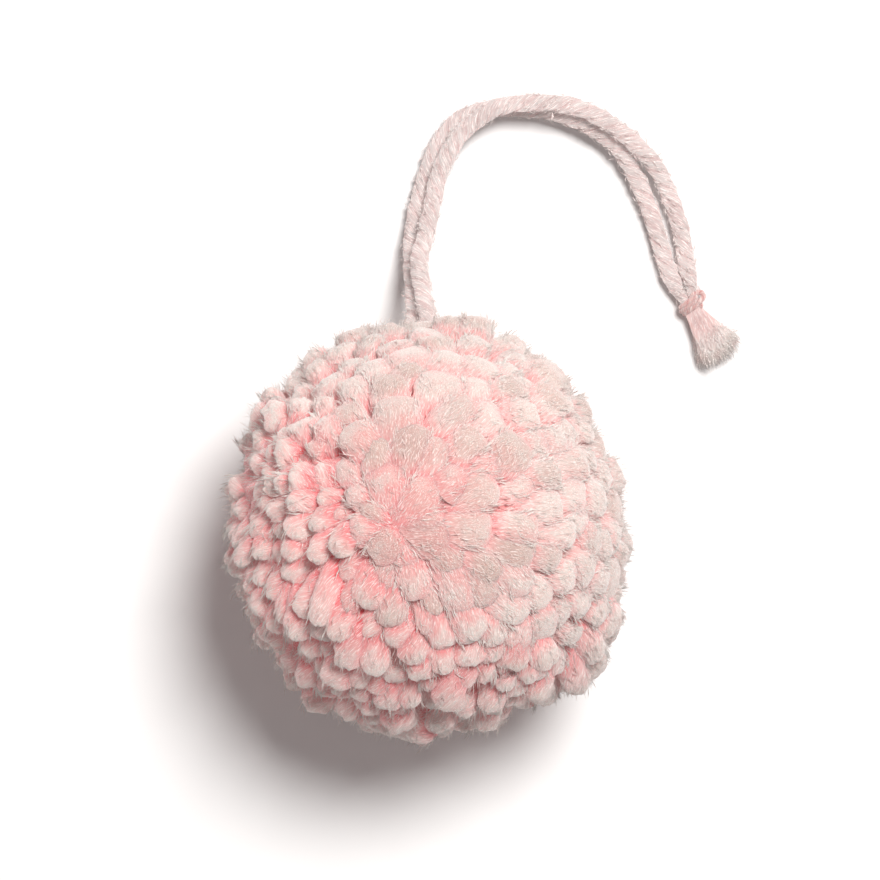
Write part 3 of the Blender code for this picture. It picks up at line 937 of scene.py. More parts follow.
@dataclass
class PompomBall:
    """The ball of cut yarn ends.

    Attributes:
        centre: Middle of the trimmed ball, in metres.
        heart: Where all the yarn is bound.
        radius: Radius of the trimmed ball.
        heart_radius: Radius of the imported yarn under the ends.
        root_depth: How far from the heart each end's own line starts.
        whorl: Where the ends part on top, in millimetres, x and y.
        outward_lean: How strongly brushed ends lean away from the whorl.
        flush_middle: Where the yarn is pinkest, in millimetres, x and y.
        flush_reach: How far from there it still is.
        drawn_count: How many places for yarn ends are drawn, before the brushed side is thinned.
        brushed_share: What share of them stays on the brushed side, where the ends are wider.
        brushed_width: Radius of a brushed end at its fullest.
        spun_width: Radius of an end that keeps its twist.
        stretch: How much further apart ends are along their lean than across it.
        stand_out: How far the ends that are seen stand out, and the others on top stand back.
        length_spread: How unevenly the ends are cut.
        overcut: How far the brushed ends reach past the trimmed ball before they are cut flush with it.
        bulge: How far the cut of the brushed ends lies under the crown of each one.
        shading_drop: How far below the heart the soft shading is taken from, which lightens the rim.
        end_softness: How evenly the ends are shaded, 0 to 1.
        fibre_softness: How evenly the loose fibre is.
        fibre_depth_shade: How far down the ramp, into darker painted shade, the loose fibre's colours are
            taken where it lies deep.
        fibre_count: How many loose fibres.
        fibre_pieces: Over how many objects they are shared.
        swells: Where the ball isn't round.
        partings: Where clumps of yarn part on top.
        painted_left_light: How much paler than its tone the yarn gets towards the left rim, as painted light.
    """

    centre: np.ndarray = field(default_factory=lambda: np.array((0.15, -0.17, 29.9)) * MM)
    heart: np.ndarray = field(default_factory=lambda: np.array((-1.6, 0.4, 29.8)) * MM)
    radius: float = 30.7 * MM
    heart_radius: float = 27.4 * MM
    root_depth: float = 20.5 * MM
    whorl: tuple[float, float] = (-4.5, 1.2)
    outward_lean: float = 1.8
    flush_middle: tuple[float, float] = (-3.0, 6.0)
    flush_reach: float = 16.0 * MM
    drawn_count: int = 650
    brushed_share: float = 0.62
    brushed_width: float = 2.95 * MM
    spun_width: float = 2.05 * MM
    stretch: float = 1.2
    stand_out: float = 0.45 * MM
    length_spread: float = 0.8 * MM
    overcut: float = 1.6 * MM
    bulge: float = 0.9 * MM
    shading_drop: float = 9.0 * MM
    end_softness: float = 0.52
    fibre_softness: float = 0.82
    fibre_depth_shade: float = 0.3
    fibre_count: int = 168000
    fibre_pieces: int = 4
    painted_left_light: float = 1.1
    swells: tuple[Swell, ...] = tuple(Swell(*place, extra * MM) for *place, extra in (
        (319, 2, 14, 4.0), (77, 8, 11, 2.0), (143, 6, 8, 2.6), (115, 0, 12, 0.9),
        (262, 0, 24, 1.2), (14, 5, 28, -1.3), (186, 0, 30, -1.2),
    ))
    partings: tuple[Parting, ...] = tuple(Parting(line, push * MM, fade * MM) for push, fade, line in (
        (1.7, 2.0, ((-15.0, 10.0), (-12.5, 6.5), (-12.5, 0.5), (-10.8, -3.8), (-9.2, -6.4))),
        (1.4, 1.8, ((-4.6, 1.5), (-2.5, -2.4), (-0.8, -4.6))),
        (1.6, 2.0, ((-4.2, -6.7), (-2.9, -11.5), (-2.0, -15.5), (1.8, -18.4), (4.8, -20.1))),
        (1.3, 1.8, ((-4.6, 1.2), (-1.2, 2.2), (2.6, 3.6), (7.4, 2.7))),
        (0.9, 1.6, ((5.2, -2.4), (8.8, -4.2))),
        (1.2, 1.8, ((0.5, -8.1), (2.6, -9.8), (4.0, -11.5))),
        (0.8, 1.6, ((12.6, 3.6), (18.2, 2.2))),
        (1.3, 2.0, ((11.4, -13.3), (19.5, -17.2), (25.1, -19.8))),
        (1.0, 2.2, ((-6.0, -17.6), (-2.0, -23.2), (-0.8, -28.0))),
        (1.2, 2.2, ((-20.5, -9.4), (-18.2, -8.0))),
        (0.8, 2.0, ((-21.1, 3.2), (-18.9, 0.1))),
    ))

    def trimmed_radius(self, directions: np.ndarray) -> np.ndarray:
        """Finds how far out the ball is trimmed.

        Args:
            directions: Ways out of its middle, one a row.

        Returns:
            The radius in each, in metres.
        """
        radius = np.full(len(directions), self.radius)
        for swell in self.swells:
            turn, rise = math.radians(swell.azimuth), math.radians(swell.elevation)
            way = np.array((math.cos(turn) * math.cos(rise), math.sin(turn) * math.cos(rise), math.sin(rise)))
            off = np.degrees(np.arccos(np.clip(directions @ way, -1, 1)))
            radius += swell.extra * np.exp(-((off / swell.width) ** 2))
        return radius

    def spun_share(self, places: np.ndarray) -> np.ndarray:
        """Finds how far yarn keeps its twist.

        Args:
            places: Where its tips are.

        Returns:
            For each, up to 1 on the left and near sides, and 0 on the brushed one.
        """
        left = smoothstep(-6 * MM, -15 * MM, places[:, 0] + places[:, 1] * 0.25)
        near = smoothstep(-7 * MM, -19 * MM, places[:, 0] * 0.31 + places[:, 1] * 0.95) * 0.8
        return np.maximum(left, near)

    def combed(self, tips: np.ndarray) -> np.ndarray:
        """Finds how yarn leans at its tips: away from the whorl, and to the near side where it is spun.

        Args:
            tips: Places on the trimmed ball.

        Returns:
            The lean at each, square to the way out of the ball.
        """
        outward = unit(tips - self.heart)
        high = (tips[:, 2] - self.centre[2]) / self.radius
        spun = self.spun_share(tips)
        sweep = np.zeros_like(tips)
        sweep[:, :2] = tips[:, :2] - np.array(self.whorl) * MM
        parted = smoothstep(0.5 * MM, 6.0 * MM, np.linalg.norm(sweep, axis=1))
        strength = self.outward_lean * parted * smoothstep(-0.35, 0.3, high) * (1 - 0.5 * spun)
        lean = unit(sweep) * strength[:, None]
        hanging = spun * smoothstep(14 * MM, -6 * MM, tips[:, 1]) * smoothstep(-0.5, 0.1, high)
        lean += np.array((-0.2, -1.4, -0.15)) * hanging[:, None]
        return lean - outward * (lean * outward).sum(1, keepdims=True)

    def seen_ways(self) -> np.ndarray:
        """Finds, from the ball's middle, the directions of the ends that stand out in the photograph.

        Returns:
            One direction for each.
        """
        view = OverheadView()
        ray = view.rays(np.array(ENDS_SEEN, float))
        eye = np.array(view.eye)
        nearest = ((self.centre - eye) * ray).sum(1)
        radius = np.full(len(ray), self.radius)
        for _ in range(4):
            beside = eye + ray * nearest[:, None] - self.centre
            rise = np.sqrt(np.maximum(radius**2 - (beside**2).sum(1), (0.12 * radius) ** 2))
            way = unit(beside - ray * rise[:, None])
            radius = self.trimmed_radius(way)
        return way

    def end_places(self) -> tuple[np.ndarray, np.ndarray]:
        """Spreads the yarn ends over the trimmed ball round the ones that are seen, then parts them.

        Returns:
            The tips' places, one a row, and whether each is one that is seen to stand out.
        """
        chance = np.random.default_rng(SEED)
        number = np.arange(self.drawn_count) + 0.5
        rise = 1 - 2 * number / self.drawn_count
        turn = number * math.pi * (3 - math.sqrt(5))
        flat = np.sqrt(1 - rise * rise)
        way = np.stack((flat * np.cos(turn), flat * np.sin(turn), rise), axis=1)
        way = unit(way + chance.normal(0, 0.05, way.shape))
        spun = self.spun_share(self.centre + way * self.radius)
        kept = chance.uniform(0, 1, len(way)) < self.brushed_share + (1 - self.brushed_share) * spun
        way, spun = way[kept], spun[kept]
        count = len(way)
        fixed = np.zeros(count, bool)
        for seen in self.seen_ways():
            nearest = np.argmax(way @ seen - 3.0 * fixed)
            way[nearest] = seen
            fixed[nearest] = True
        room = 1.15 - 0.33 * spun
        reach = 0.75 * math.sqrt(4 * math.pi / count) * (room[:, None] + room[None])
        for _ in range(24):
            combed = unit(self.combed(self.centre + way * self.radius) + 1e-6)
            apart = way[:, None] - way[None]
            along = (apart * combed[:, None]).sum(-1)
            distance = np.linalg.norm(apart, axis=-1) + np.eye(count) * 9
            drawn = np.sqrt(distance**2 - (1 - 1 / self.stretch**2) * along**2)
            push = np.maximum(0, 1 - drawn / reach) ** 2
            moved = unit(way + 0.05 * (apart / distance[..., None] * push[..., None]).sum(1))
            way = np.where(fixed[:, None], way, moved)
        tips = self.centre + way * self.trimmed_radius(way)[:, None]
        for parting in self.partings:
            tips = self.stood_back(tips, parting)
        way = unit(tips - self.centre)
        return self.centre + way * self.trimmed_radius(way)[:, None], fixed

    def stood_back(self, tips: np.ndarray, parting: Parting) -> np.ndarray:
        """Moves tips on the upper side back from a parting.

        Args:
            tips: Their places.
            parting: The parting.

        Returns:
            The new places.
        """
        line = np.array(parting.line) * MM
        nearest, offset = np.full(len(tips), 1.0), np.zeros((len(tips), 2))
        for start, end in zip(line, line[1:]):
            run = end - start
            share = np.clip((tips[:, :2] - start) @ run / (run @ run), 0, 1)
            away = tips[:, :2] - (start + share[:, None] * run)
            distance = np.linalg.norm(away, axis=1)
            closer = distance < nearest
            nearest = np.where(closer, distance, nearest)
            offset = np.where(closer[:, None], away, offset)
        height = smoothstep(0.0, 0.35, (tips[:, 2] - self.centre[2]) / self.radius)
        push = parting.push * np.exp(-nearest / parting.fade) * height
        moved = tips.copy()
        moved[:, :2] += unit(offset) * push[:, None]
        return moved

    def strands(self) -> Strands:
        """Gives every yarn end its line, width, twist and colour.

        Returns:
            The yarn ends.
        """
        chance = np.random.default_rng(SEED + 1)
        tips, standing_out = self.end_places()
        count = len(tips)
        outward = unit(tips - self.heart)
        high = (tips[:, 2] - self.centre[2]) / self.radius
        spun = self.spun_share(tips)
        lean = self.combed(tips)
        extra = chance.normal(0, 1, count) * self.length_spread * (0.6 + 0.5 * spun)
        extra += np.where(standing_out, self.stand_out, -self.stand_out) * smoothstep(0.0, 0.3, high)
        reach = np.linalg.norm(tips - self.centre, axis=1) + extra * (0.5 + 0.5 * spun) - self.bulge
        trim = Trim(self.centre, reach, (1 - spun) * (0.4 + 0.6 * smoothstep(0.0, 0.5, high)))
        tips = tips + outward * extra[:, None]
        lean += slow_waves(tips, 13 * MM, SEED + 2) * 0.3
        lean += chance.normal(0, 1, tips.shape) * (0.17 + 0.13 * spun)[:, None]
        lean -= outward * (lean * outward).sum(1, keepdims=True)
        way = unit(outward + lean)
        tips += way * (self.overcut * (1 - spun))[:, None]
        roots = self.heart + unit(outward - lean * 0.3) * self.root_depth
        length = np.linalg.norm(tips - roots, axis=1)
        bends = tips - way * (length * 0.5)[:, None]
        widths = self.brushed_width + (self.spun_width - self.brushed_width) * spun
        widths = widths * (1 + 0.14 * chance.normal(0, 1, count))
        low = tips[:, 2] < widths * 0.4
        tips[low, 2] = widths[low] * 0.12
        plied = np.clip(spun * chance.uniform(0.35, 1.0, count), 0, 1)
        # Painted shade: grey on the cut ends.
        grey_end_shade = (1 - 0.7 * spun) * chance.uniform(0.3, 0.95, count)
        grey_end_shade *= np.where(standing_out | (high < 0.2), 1.0, 0.3)
        fuzzy = (0.25 + 0.75 * smoothstep(-0.9, -0.3, high)) * (1 - 0.5 * spun)
        flushed = np.linalg.norm(tips[:, :2] - np.array(self.flush_middle) * MM, axis=1) / self.flush_reach
        blush = 0.09 * np.exp(-(flushed**2)) * smoothstep(0.2, 0.6, high)
        blush -= 0.1 * (1 - spun) * smoothstep(0.9, 1.7, flushed)
        # Painted shade where ends touch, stronger near the pinkest middle and on spun ends.
        contact_shade = 0.25 + np.maximum(0.12 * np.exp(-(flushed**2)), 0.14 * spun)
        ends = Strands(roots, bends, tips, widths, spun, plied, grey_end_shade, blush, fuzzy, contact_shade, SEED + 3, trim)
        # Painted light: the yarn towards the left rim is made paler.
        left = smoothstep(-6 * MM, -24 * MM, tips[:, 0])
        ends.paler = self.painted_left_light * left * smoothstep(-0.6, 0.0, high)
        return ends

    def heart_piece(self, material: bpy.types.Material) -> bpy.types.Object:
        """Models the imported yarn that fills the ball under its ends.

        Args:
            material: The finish.

        Returns:
            The object.
        """
        bpy.ops.mesh.primitive_ico_sphere_add(subdivisions=6, radius=self.heart_radius, location=self.heart)
        thing = bpy.context.object
        thing.name = "packed_yarn"
        bpy.ops.object.transform_apply(location=True, rotation=True, scale=True)
        mesh = thing.data
        points = np.zeros(len(mesh.vertices) * 3, np.float32)
        mesh.vertices.foreach_get("co", points)
        points = points.reshape(-1, 3).astype(float)
        way = unit(points - self.heart)
        lumps = slow_waves(points, 4 * MM, SEED + 5)[:, 0]
        lumps += slow_waves(points, 2.0 * MM, SEED + 6)[:, 1] * 0.6
        points += way * (lumps * 0.6 * MM)[:, None]
        mesh.vertices.foreach_set("co", points.astype(np.float32).ravel())
        # Painted shade: the packed yarn under the ends takes a darker, redder colour from low on the ramp.
        set_marks(mesh, {
            Mark.ALONG: np.full(len(points), 0.4),
            Mark.TONE: np.clip(0.5 + 0.3 * lumps, 0, 1),
            Mark.GREY: np.zeros(len(points)),
            Mark.PLACE: points / MM,
        })
        mesh.polygons.foreach_set("use_smooth", np.ones(len(mesh.polygons), bool))
        mesh.update()
        mesh.materials.append(material)
        LOG.info("packed_yarn: %d triangles", len(mesh.polygons))
        return thing

    def build(self, finish: YarnFinish, fuzz_finish: YarnFinish) -> None:
        """Builds and dresses the ball.

        Args:
            finish: The yarn's finish.
            fuzz_finish: The loose fibre's finish.
        """
        material = finish.material()
        strands = self.strands()
        middle = (*self.heart[:2], self.heart[2] - self.shading_drop)
        ends = strands.mesh("yarn_ends", material, Softness(middle, self.end_softness))
        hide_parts("pompom")
        pieces = [ends, self.heart_piece(material)]
        fibre = Fibre()
        loose = fuzz_finish.material()
        even = Softness(middle, self.fibre_softness)
        share = self.fibre_count // self.fibre_pieces
        for number in range(self.fibre_pieces):
            lines, marks = strands.fuzz(share, SEED + 20 + number, fibre)
            # Painted shade: loose fibre that lies deep takes darker, redder colours.
            below = self.radius - np.linalg.norm(lines - self.centre, axis=-1)
            marks[Mark.ALONG] -= self.fibre_depth_shade * smoothstep(0.6 * MM, 3.6 * MM, below)
            name = f"loose_fibre_{number + 1}"
            pieces.append(fibre_mesh(name, lines, marks, fibre.thickness, loose, even))
        for piece in pieces:
            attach(piece, "root")


def smooth_path(route: tuple[tuple[float, float, float], ...], step: float) -> np.ndarray:
    """Lays points an even step apart on a smooth curve through a route's own points.

    Args:
        route: The route's points in millimetres.
        step: The step in metres.

    Returns:
        Points in metres, one a row.
    """
    knots = np.array(route) * MM
    knots = np.concatenate((knots[:1] * 2 - knots[1:2], knots, knots[-1:] * 2 - knots[-2:-1]))
    t = (np.arange(20) / 20)[:, None]
    fine = []
    for before, start, end, after in zip(knots, knots[1:], knots[2:], knots[3:]):
        bend = (2 * before - 5 * start + 4 * end - after) * t**2
        swing = (3 * start - before - 3 * end + after) * t**3
        fine.append((2 * start + (end - before) * t + bend + swing) / 2)
    fine = np.concatenate((*fine, knots[-2:-1]))
    along = np.concatenate(([0], np.cumsum(np.linalg.norm(np.diff(fine, axis=0), axis=1))))
    wanted = np.linspace(0, along[-1], round(along[-1] / step) + 1)
    return np.stack([np.interp(wanted, along, fine[:, axis]) for axis in range(3)], axis=1)


def carried_frames(path: np.ndarray) -> tuple[np.ndarray, np.ndarray, np.ndarray]:
    """Carries a frame along a path without turning it about the path.

    Args:
        path: Points, one a row.

    Returns:
        The way on and two directions across it, at each point.
    """
    way = unit(np.gradient(path, axis=0))
    side = np.zeros_like(path)
    side[0] = unit(np.cross(way[0], UP + 0.01))
    for i in range(1, len(path)):
        side[i] = unit(side[i - 1] - way[i] * (side[i - 1] @ way[i]))
    return way, side, np.cross(way, side)


@dataclass
class TwistedYarn:
    """A length of plied yarn along a path.

    Attributes:
        path: Its middle line, in metres.
        radius: Radius over the plies' crests, at each point of the path.
        plies: How many plies.
        lead: Length of one full turn.
        valley: Radius between plies, as a share.
        sides: Corners round the yarn.
        seed: Which set of irregularities.
        floor: Least height of its surface.
    """

    path: np.ndarray
    radius: np.ndarray
    plies: int
    lead: float
    valley: float
    sides: int
    seed: int
    floor: float = 0.02 * MM

    def __post_init__(self) -> None:
        """Works out the yarn's frames and lengths."""
        self.way, self.side, self.other = carried_frames(self.path)
        steps = np.linalg.norm(np.diff(self.path, axis=0), axis=1)
        self.distance = np.concatenate(([0], np.cumsum(steps)))

    def mesh(
        self, name: str, material: bpy.types.Material, softness: Softness | None = None
    ) -> bpy.types.Object:
        """Builds the yarn as one closed, twisted body.

        Args:
            name: The object's name.
            material: Its finish.
            softness: How its shading is evened out, if it is.

        Returns:
            The object.
        """
        sides = self.sides
        chance = np.random.default_rng(self.seed)
        angle = np.arange(sides) * 2 * math.pi / sides
        slip = 0.35 * np.sin(self.distance / MM * 0.23 + chance.uniform(0, 6))
        turn = (self.distance / self.lead * 2 * math.pi + slip)[:, None]
        local = angle[None] + turn
        crest = np.abs(np.cos(self.plies / 2 * local)) ** 0.75
        waver = 1 + 0.04 * np.sin(self.distance / MM * 1.1 + chance.uniform(0, 6))[:, None]
        radius = self.radius[:, None] * (self.valley + (1 - self.valley) * crest) * waver
        points = (
            self.path[:, None]
            + self.side[:, None] * (np.cos(angle)[:, None] * radius[..., None])
            + self.other[:, None] * (np.sin(angle)[:, None] * radius[..., None])
        )
        own = np.stack((np.cos(local) * radius, np.sin(local) * radius,
                        np.broadcast_to(self.distance[:, None], radius.shape)), axis=-1) / MM
        # Painted shade: the valleys between plies take the darker end of the ramp.
        marks = {
            Mark.ALONG: crest.ravel(),
            Mark.PLACE: own.reshape(-1, 3),
            Mark.TONE: (0.5 + 0.3 * np.sin(self.distance / MM * 0.6))[:, None].repeat(sides, 1).ravel(),
            Mark.GREY: np.zeros(crest.size),
        }
        return tube_mesh(name, points[None], self.path[[0, -1]], marks, self.floor, material, softness)

    def fuzz(self, count: int, seed: int, length: tuple[float, float]) -> tuple[np.ndarray, Marks]:
        """Draws short loose fibres that follow the plies' twist.

        Args:
            count: How many.
            seed: Which set.
            length: Least and most length.

        Returns:
            Three points for each fibre, and the values that their finish reads.
        """
        chance = np.random.default_rng(seed)
        which = chance.integers(2, len(self.path) - 2, count)
        angle = chance.uniform(0, 2 * math.pi, count)
        outward = self.side[which] * np.cos(angle)[:, None] + self.other[which] * np.sin(angle)[:, None]
        way = self.way[which]
        round_it = np.cross(way, outward)
        lead_way = unit(way - round_it * (2 * math.pi * self.radius[which] / self.lead)[:, None])
        lead_way *= np.where(chance.uniform(0, 1, count) < 0.5, -1, 1)[:, None]
        size = chance.uniform(*length, count)
        radius = self.radius[which] * chance.uniform(0.82, 0.98, count)
        base = self.path[which] + outward * radius[:, None]
        lean = chance.normal(0, 0.16, (count, 3))
        lift = chance.uniform(0.0, 0.4, count) ** 1.5
        first = unit(lead_way + outward * (lift + 0.1)[:, None] + lean)
        middle = base + first * (size / 2)[:, None]
        last = unit(lead_way + outward * (lift - 0.35)[:, None] + lean * 2)
        lines = np.stack((base, middle, middle + last * (size / 2)[:, None]), axis=1)
        lines[..., 2] = np.maximum(lines[..., 2], 0.06 * MM)
        marks = {
            Mark.ALONG: np.full((count, 3), 0.9),
            Mark.TONE: np.repeat(chance.uniform(0, 1, count)[:, None], 3, 1),
            Mark.GREY: np.zeros((count, 3)),
        }
        return lines, marks


@dataclass
class HangingTie:
    """The doubled cord, its binding and its frayed end, in metres.

    Attributes:
        cord_radius: Radius of one run over its plies' crests.
        cord_plies: How many plies it has.
        cord_valley: Radius between plies, as a share.
        cord_sides: Corners round it.
        cord_step: How far apart its rings lie.
        lead: Length of one full turn of its plies.
        taper_length: How far from its ends it starts to be drawn in.
        taper_share: How thin it is there.
        under_binding: How far it goes on under the binding.
        fuzz_count: How many loose fibres each run carries.
        fuzz_thickness: Radius of one, at its middle.
        exit_depth: How far along each run leaves the ball; not used.
        binding_centre: Middle of the binding.
        binding_length: Its length along the cord.
        binding_turns: How many times the thread goes round.
        binding_wide: Half its width, to the middle of the thread.
        binding_high: Half its height, likewise.
        thread_radius: Radius of its thread.
        tuft_count: How many plies are frayed.
        tuft_length: How far they stand out of the binding.
        tuft_fuzz_count: How many loose fibres they carry.
        shading_middle: The point that its soft shading is taken from.
        shading_share: How soft that is, 0 to 1.
    """

    cord_radius: float = 1.42 * MM
    cord_plies: int = 3
    cord_valley: float = 0.85
    cord_sides: int = 36
    cord_step: float = 0.32 * MM
    lead: float = 8.4 * MM
    taper_length: float = 4.0 * MM
    taper_share: float = 0.62
    under_binding: float = 2.4 * MM
    fuzz_count: int = 2400
    fuzz_thickness: float = 0.02 * MM
    exit_depth: float = 17.0 * MM
    binding_centre: np.ndarray = field(default_factory=lambda: np.array((42.4, 35.0, 1.95)) * MM)
    binding_length: float = 2.7 * MM
    binding_turns: float = 3.1
    binding_wide: float = 1.42 * MM
    binding_high: float = 1.25 * MM
    thread_radius: float = 0.5 * MM
    tuft_count: int = 13
    tuft_length: float = 6.6 * MM
    tuft_fuzz_count: int = 3400
    shading_middle: tuple[float, float, float] = (0.015, 0.045, -0.07)
    shading_share: float = 0.5

    def run(self, route: tuple[tuple[float, float, float], ...]) -> np.ndarray:
        """Lays a run's path from the core to under the binding.

        Args:
            route: The run's route, in millimetres.

        Returns:
            Points in metres, an even step apart.
        """
        last = np.array(route[-1])
        towards = self.binding_centre / MM + HEADING * 0.9
        onward = last + unit(towards - last) * self.under_binding / MM
        return smooth_path((*route, tuple(onward)), self.cord_step)

    def yarn(self, path: np.ndarray, seed: int) -> TwistedYarn:
        """Makes the twisted yarn of one run, drawn in at both ends.

        Args:
            path: Its middle line.
            seed: Which set of irregularities.

        Returns:
            The yarn.
        """
        steps = np.arange(len(path)) * self.cord_step
        to_end = np.minimum(steps + 1.0 * MM, np.maximum(steps[::-1] - 1.5 * MM, 0))
        share = self.taper_share + (1 - self.taper_share) * smoothstep(0, self.taper_length, to_end)
        radius = self.cord_radius * share
        return TwistedYarn(path, radius, self.cord_plies, self.lead, self.cord_valley, self.cord_sides, seed)

    def binding(self, material: bpy.types.Material) -> bpy.types.Object:
        """Winds the thin yarn round both runs and leaves its small loop at the side.

        Args:
            material: The finish.

        Returns:
            The binding.
        """
        side = np.cross(UP, HEADING)
        turn = np.linspace(0, 2 * math.pi * self.binding_turns, 150)
        along = np.linspace(-0.5, 0.5, 150) * (self.binding_length - 2 * self.thread_radius)
        wide, high = self.binding_wide, self.binding_high
        swell = 1 + 0.06 * np.sin(turn * 0.7 + 1)
        path = (
            self.binding_centre
            + HEADING * along[:, None]
            + side * (np.cos(turn) * wide * swell)[:, None]
            + UP * (np.sin(turn) * high * swell)[:, None]
        )
        loop_turn = np.linspace(-0.3, math.pi + 0.9, 60)
        loop = (
            self.binding_centre
            + side * (wide + 0.25 * MM + np.sin(loop_turn) * 1.05 * MM)[:, None]
            - HEADING * (0.55 * MM - np.cos(loop_turn) * 0.75 * MM)[:, None]
            + UP * (0.5 * MM + 0.35 * MM * np.cos(loop_turn * 1.5))[:, None]
        )
        parts = []
        thread = self.thread_radius
        for number, (line, radius) in enumerate(((path, thread), (loop, thread * 0.95))):
            yarn = TwistedYarn(line, np.full(len(line), radius), 2, 2.2 * MM, 0.8, 18, 60 + number)
            parts.append(yarn.mesh(f"binding_part_{number}", material))
        bpy.ops.object.select_all(action="DESELECT")
        for part in parts:
            part.select_set(True)
        bpy.context.view_layer.objects.active = parts[0]
        bpy.ops.object.join()
        parts[0].name = "binding_turns"
        return parts[0]

    def frayed(self) -> Strands:
        """Lays the frayed plies in a fan past the binding.

        Returns:
            The plies.
        """
        chance = np.random.default_rng(SEED + 40)
        side = np.cross(UP, HEADING)
        start = self.binding_centre + HEADING * (self.binding_length * 0.3)
        count = self.tuft_count
        spread = np.linspace(-1, 1, count) + chance.normal(0, 0.08, count)
        level = np.where(np.arange(count) % 2 == 0, 0.95, 2.5) * MM
        length = self.tuft_length * (1 - 0.13 * spread**2 + chance.normal(0, 0.05, count)) + 1.4 * MM
        roots = start + side * (spread * 0.75 * MM)[:, None] + UP * ((level - 1.9 * MM) * 0.3)[:, None]
        tips = start + HEADING * length[:, None] + side * (spread * 2.75 * MM)[:, None]
        tips[:, 2] = level + chance.normal(0, 0.1, count) * MM
        bends = roots * 0.45 + tips * 0.55
        bends -= side * (spread * 0.35 * MM)[:, None]
        bends[:, 2] = level
        widths = np.full(count, 1.0 * MM) * (1 + 0.1 * chance.normal(0, 1, count))
        # The frayed plies' cut ends are painted grey and where they touch painted darker, both painted shade.
        return Strands(roots, bends, tips, widths, np.ones(count), np.full(count, 0.5), np.full(count, 0.55),
                       np.zeros(count), np.ones(count), np.full(count, 0.3), SEED + 41, sides=16)

    def build(self, cord: YarnFinish, cord_fuzz: YarnFinish, binding: YarnFinish, ends: YarnFinish) -> None:
        """Builds and dresses both runs, the binding and the frayed end.

        Args:
            cord: The cord's finish.
            cord_fuzz: The finish of its loose fibre.
            binding: The binding's finish.
            ends: The finish of the frayed plies.
        """
        cord_material, fuzz_material = cord.material(), cord_fuzz.material()
        turns = self.binding(binding.material())
        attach(turns, "root")
        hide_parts("binding_knot")
        strands = self.frayed()
        from_below = Softness(self.shading_middle, self.shading_share)
        plies = strands.mesh("frayed_plies", ends.material(), from_below)
        fibre = Fibre().resized(0.024 * MM, (1.2 * MM, 3.0 * MM), (0.6 * MM, 1.4 * MM), (1.0 * MM, 2.0 * MM),
                                (1.5 * MM, 2.6 * MM))
        lines, marks = strands.fuzz(self.tuft_fuzz_count, SEED + 42, fibre)
        hairs = fibre_mesh("frayed_fibre", lines, marks, fibre.thickness, fuzz_material, from_below)
        for piece in (plies, hairs):
            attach(piece, "root")
        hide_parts("frayed_end")
        for number, (name, route) in enumerate((("inner", INNER_ROUTE), ("outer", OUTER_ROUTE))):
            path = self.run(route)
            yarn = self.yarn(path, 50 + number)
            run = yarn.mesh(f"cord_run_{name}", cord_material, from_below)
            fuzz_lines, fuzz_marks = yarn.fuzz(self.fuzz_count, 54 + number, (0.7 * MM, 2.0 * MM))
            fuzz = fibre_mesh(
                f"cord_fibre_{name}", fuzz_lines, fuzz_marks, self.fuzz_thickness, fuzz_material, from_below
            )
            for piece in (run, fuzz):
                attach(piece, "root")
            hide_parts(f"cord_{name}")


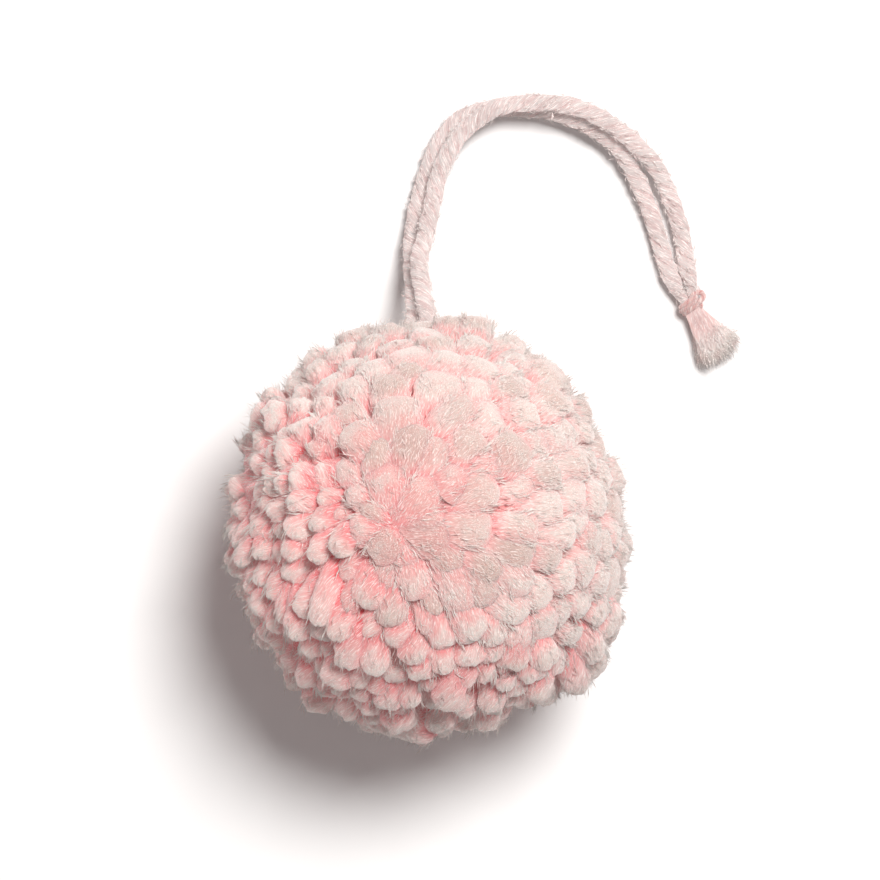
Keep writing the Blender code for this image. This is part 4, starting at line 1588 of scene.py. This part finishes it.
@dataclass
class Studio:
    """The table, the lights and the camera.

    Attributes:
        view: The camera's place over the table, and its focal length.
        sensor: Width of the camera's sensor, in millimetres.
        floor_size: Width of the table, in metres.
        key_distance: How far off the main light is.
        key_size: Its width.
        key_power: Its power, in watts.
        key_rise: How high over the table it stands, in radians.
        key_turn: How far round from the right, in radians.
        key_aim: What it shines at.
        fill: Strength of the light from all round.
    """

    view: OverheadView = OverheadView()
    sensor: float = 36.0
    floor_size: float = 9.0
    key_distance: float = 1.3
    key_size: float = 0.5
    key_power: float = 20.4
    key_rise: float = math.radians(65)
    key_turn: float = math.radians(55)
    key_aim: tuple[float, float, float] = (0.0, 0.0, 0.02)
    fill: float = 0.262

    def floor(self) -> None:
        """Models the pale table as a wide, flat sheet."""
        bpy.ops.object.select_all(action="DESELECT")
        bpy.ops.mesh.primitive_plane_add(size=self.floor_size, location=(0, 0, 0))
        table = bpy.context.object
        table.name = "pale_table"
        bpy.ops.object.mode_set(mode="EDIT")
        bpy.ops.mesh.select_all(action="SELECT")
        bpy.ops.mesh.subdivide(number_cuts=6)
        bpy.ops.object.mode_set(mode="OBJECT")
        material = bpy.data.materials.new("matt_white")
        material.use_nodes = True
        tree = material.node_tree
        cloud = noise(tree, Vector=add_node(tree, "TexCoord", {}).outputs["Object"], Scale=3.0)
        stops = ((0.0, (0.875, 0.872, 0.873, 1)), (1.0, (0.885, 0.884, 0.885, 1)))
        colour = ramp_node(tree, cloud, stops, "LINEAR")
        feed(tree, tree.nodes["Principled BSDF"], {"Base Color": colour, "Roughness": 0.9, "IOR": 1.2})
        table.data.materials.append(material)

    def lights(self) -> None:
        """Sets the large key light, and the soft even light from all round."""
        key = bpy.data.lights.new("window_light", "AREA")
        key.shape, key.size, key.energy = "DISK", self.key_size, self.key_power
        key.color = (1.0, 0.985, 0.965)
        lamp = bpy.data.objects.new("window_light", key)
        way = Vector((
            math.cos(self.key_turn) * math.cos(self.key_rise),
            math.sin(self.key_turn) * math.cos(self.key_rise),
            math.sin(self.key_rise),
        ))
        lamp.location = Vector(self.key_aim) + way * self.key_distance
        lamp.rotation_mode = "QUATERNION"
        lamp.rotation_quaternion = way.to_track_quat("Z", "Y")
        bpy.context.scene.collection.objects.link(lamp)
        world = bpy.data.worlds.new("white_room")
        world.use_nodes = True
        tree = world.node_tree
        room = tree.nodes["Background"]
        feed(tree, room, {"Color": (1.0, 0.92, 0.915, 1), "Strength": self.fill})
        seen = add_node(tree, "Background", {"Color": (1.0, 1.0, 1.0, 1), "Strength": 1.0})
        path = add_node(tree, "LightPath", {})
        choose = add_node(tree, "MixShader", {
            0: path.outputs["Is Camera Ray"],
            1: room.outputs["Background"],
            2: seen.outputs["Background"],
        })
        feed(tree, tree.nodes["World Output"], {"Surface": choose.outputs["Shader"]})
        bpy.context.scene.world = world
        bpy.context.scene.view_settings.view_transform = "Standard"

    def camera(self) -> None:
        """Hangs the camera over the table, looking straight down."""
        data = bpy.data.cameras.new("overhead")
        data.sensor_width = self.sensor
        data.lens = self.sensor * self.view.focal / (2 * self.view.middle)
        data.clip_start = 0.01
        eye = bpy.data.objects.new("overhead", data)
        eye.location = self.view.eye
        bpy.context.scene.collection.objects.link(eye)
        bpy.context.scene.camera = eye


# In the finishes below, the low end of each ramp is painted shade, the grey is painted shade on cut ends, and
# the emission is a painted glow.
LOOSE_FIBRE = {"streak_scale": 1.0, "streak_depth": 0.01 * MM, "sheen": 0.15, "scatter": 0.0}
POMPOM_YARN = YarnFinish(
    name="pompom_yarn",
    slot="pompom_yarn",
    ramp=(
        (0.18, (241, 104, 110)), (0.42, (247, 154, 155)), (0.66, (247, 184, 181)),
        (0.84, (243, 206, 201)), (0.98, (237, 222, 215)),
    ),
    end_shade_grey=(210, 184, 174),
    streak_scale=3.2,
    streak_depth=0.25 * MM,
)
POMPOM_FUZZ = YarnFinish(
    name="pompom_loose_fibre",
    slot="pompom_yarn",
    ramp=(
        (0.35, (245, 158, 158)), (0.58, (246, 196, 193)), (0.78, (245, 219, 214)),
        (1.00, (241, 233, 227)),
    ),
    end_shade_grey=(238, 222, 214),
    **LOOSE_FIBRE,
)
CORD_YARN = YarnFinish(
    name="cord_yarn",
    slot="cord_yarn",
    ramp=(
        (0.10, (232, 208, 206)), (0.45, (238, 220, 217)), (0.90, (240, 228, 225)),
    ),
    end_shade_grey=(225, 210, 200),
    streak_scale=3.4,
    streak_depth=0.12 * MM,
    sheen=0.2,
    painted_glow=0.34,
    value=0.5,
)
CORD_FUZZ = YarnFinish(
    name="cord_loose_fibre",
    slot="cord_yarn",
    ramp=((0.2, (230, 204, 200)), (0.9, (242, 230, 226))),
    end_shade_grey=(230, 222, 214),
    **LOOSE_FIBRE,
    painted_glow=0.36,
    value=0.52,
)
BINDING_YARN = YarnFinish(
    name="binding_yarn",
    slot="binding_yarn",
    ramp=((0.1, (222, 150, 148)), (0.8, (242, 204, 199))),
    end_shade_grey=(240, 200, 195),
    streak_scale=4.0,
    streak_depth=0.08 * MM,
    value=0.52,
)
FRAYED_YARN = YarnFinish(
    name="frayed_yarn",
    slot="cord_yarn",
    ramp=(
        (0.10, (240, 204, 200)), (0.45, (238, 221, 216)), (0.90, (236, 228, 222)),
    ),
    end_shade_grey=(222, 213, 205),
    streak_scale=3.6,
    streak_depth=0.15 * MM,
)


def main() -> None:
    """Builds the studio, the hanging tie and the ball, in that order."""
    logging.basicConfig(level=logging.INFO, format="%(name)s: %(message)s")
    studio = Studio()
    studio.camera()
    studio.lights()
    studio.floor()
    HangingTie().build(CORD_YARN, CORD_FUZZ, BINDING_YARN, FRAYED_YARN)
    PompomBall().build(POMPOM_YARN, POMPOM_FUZZ)


if __name__ == "__main__":
    main()
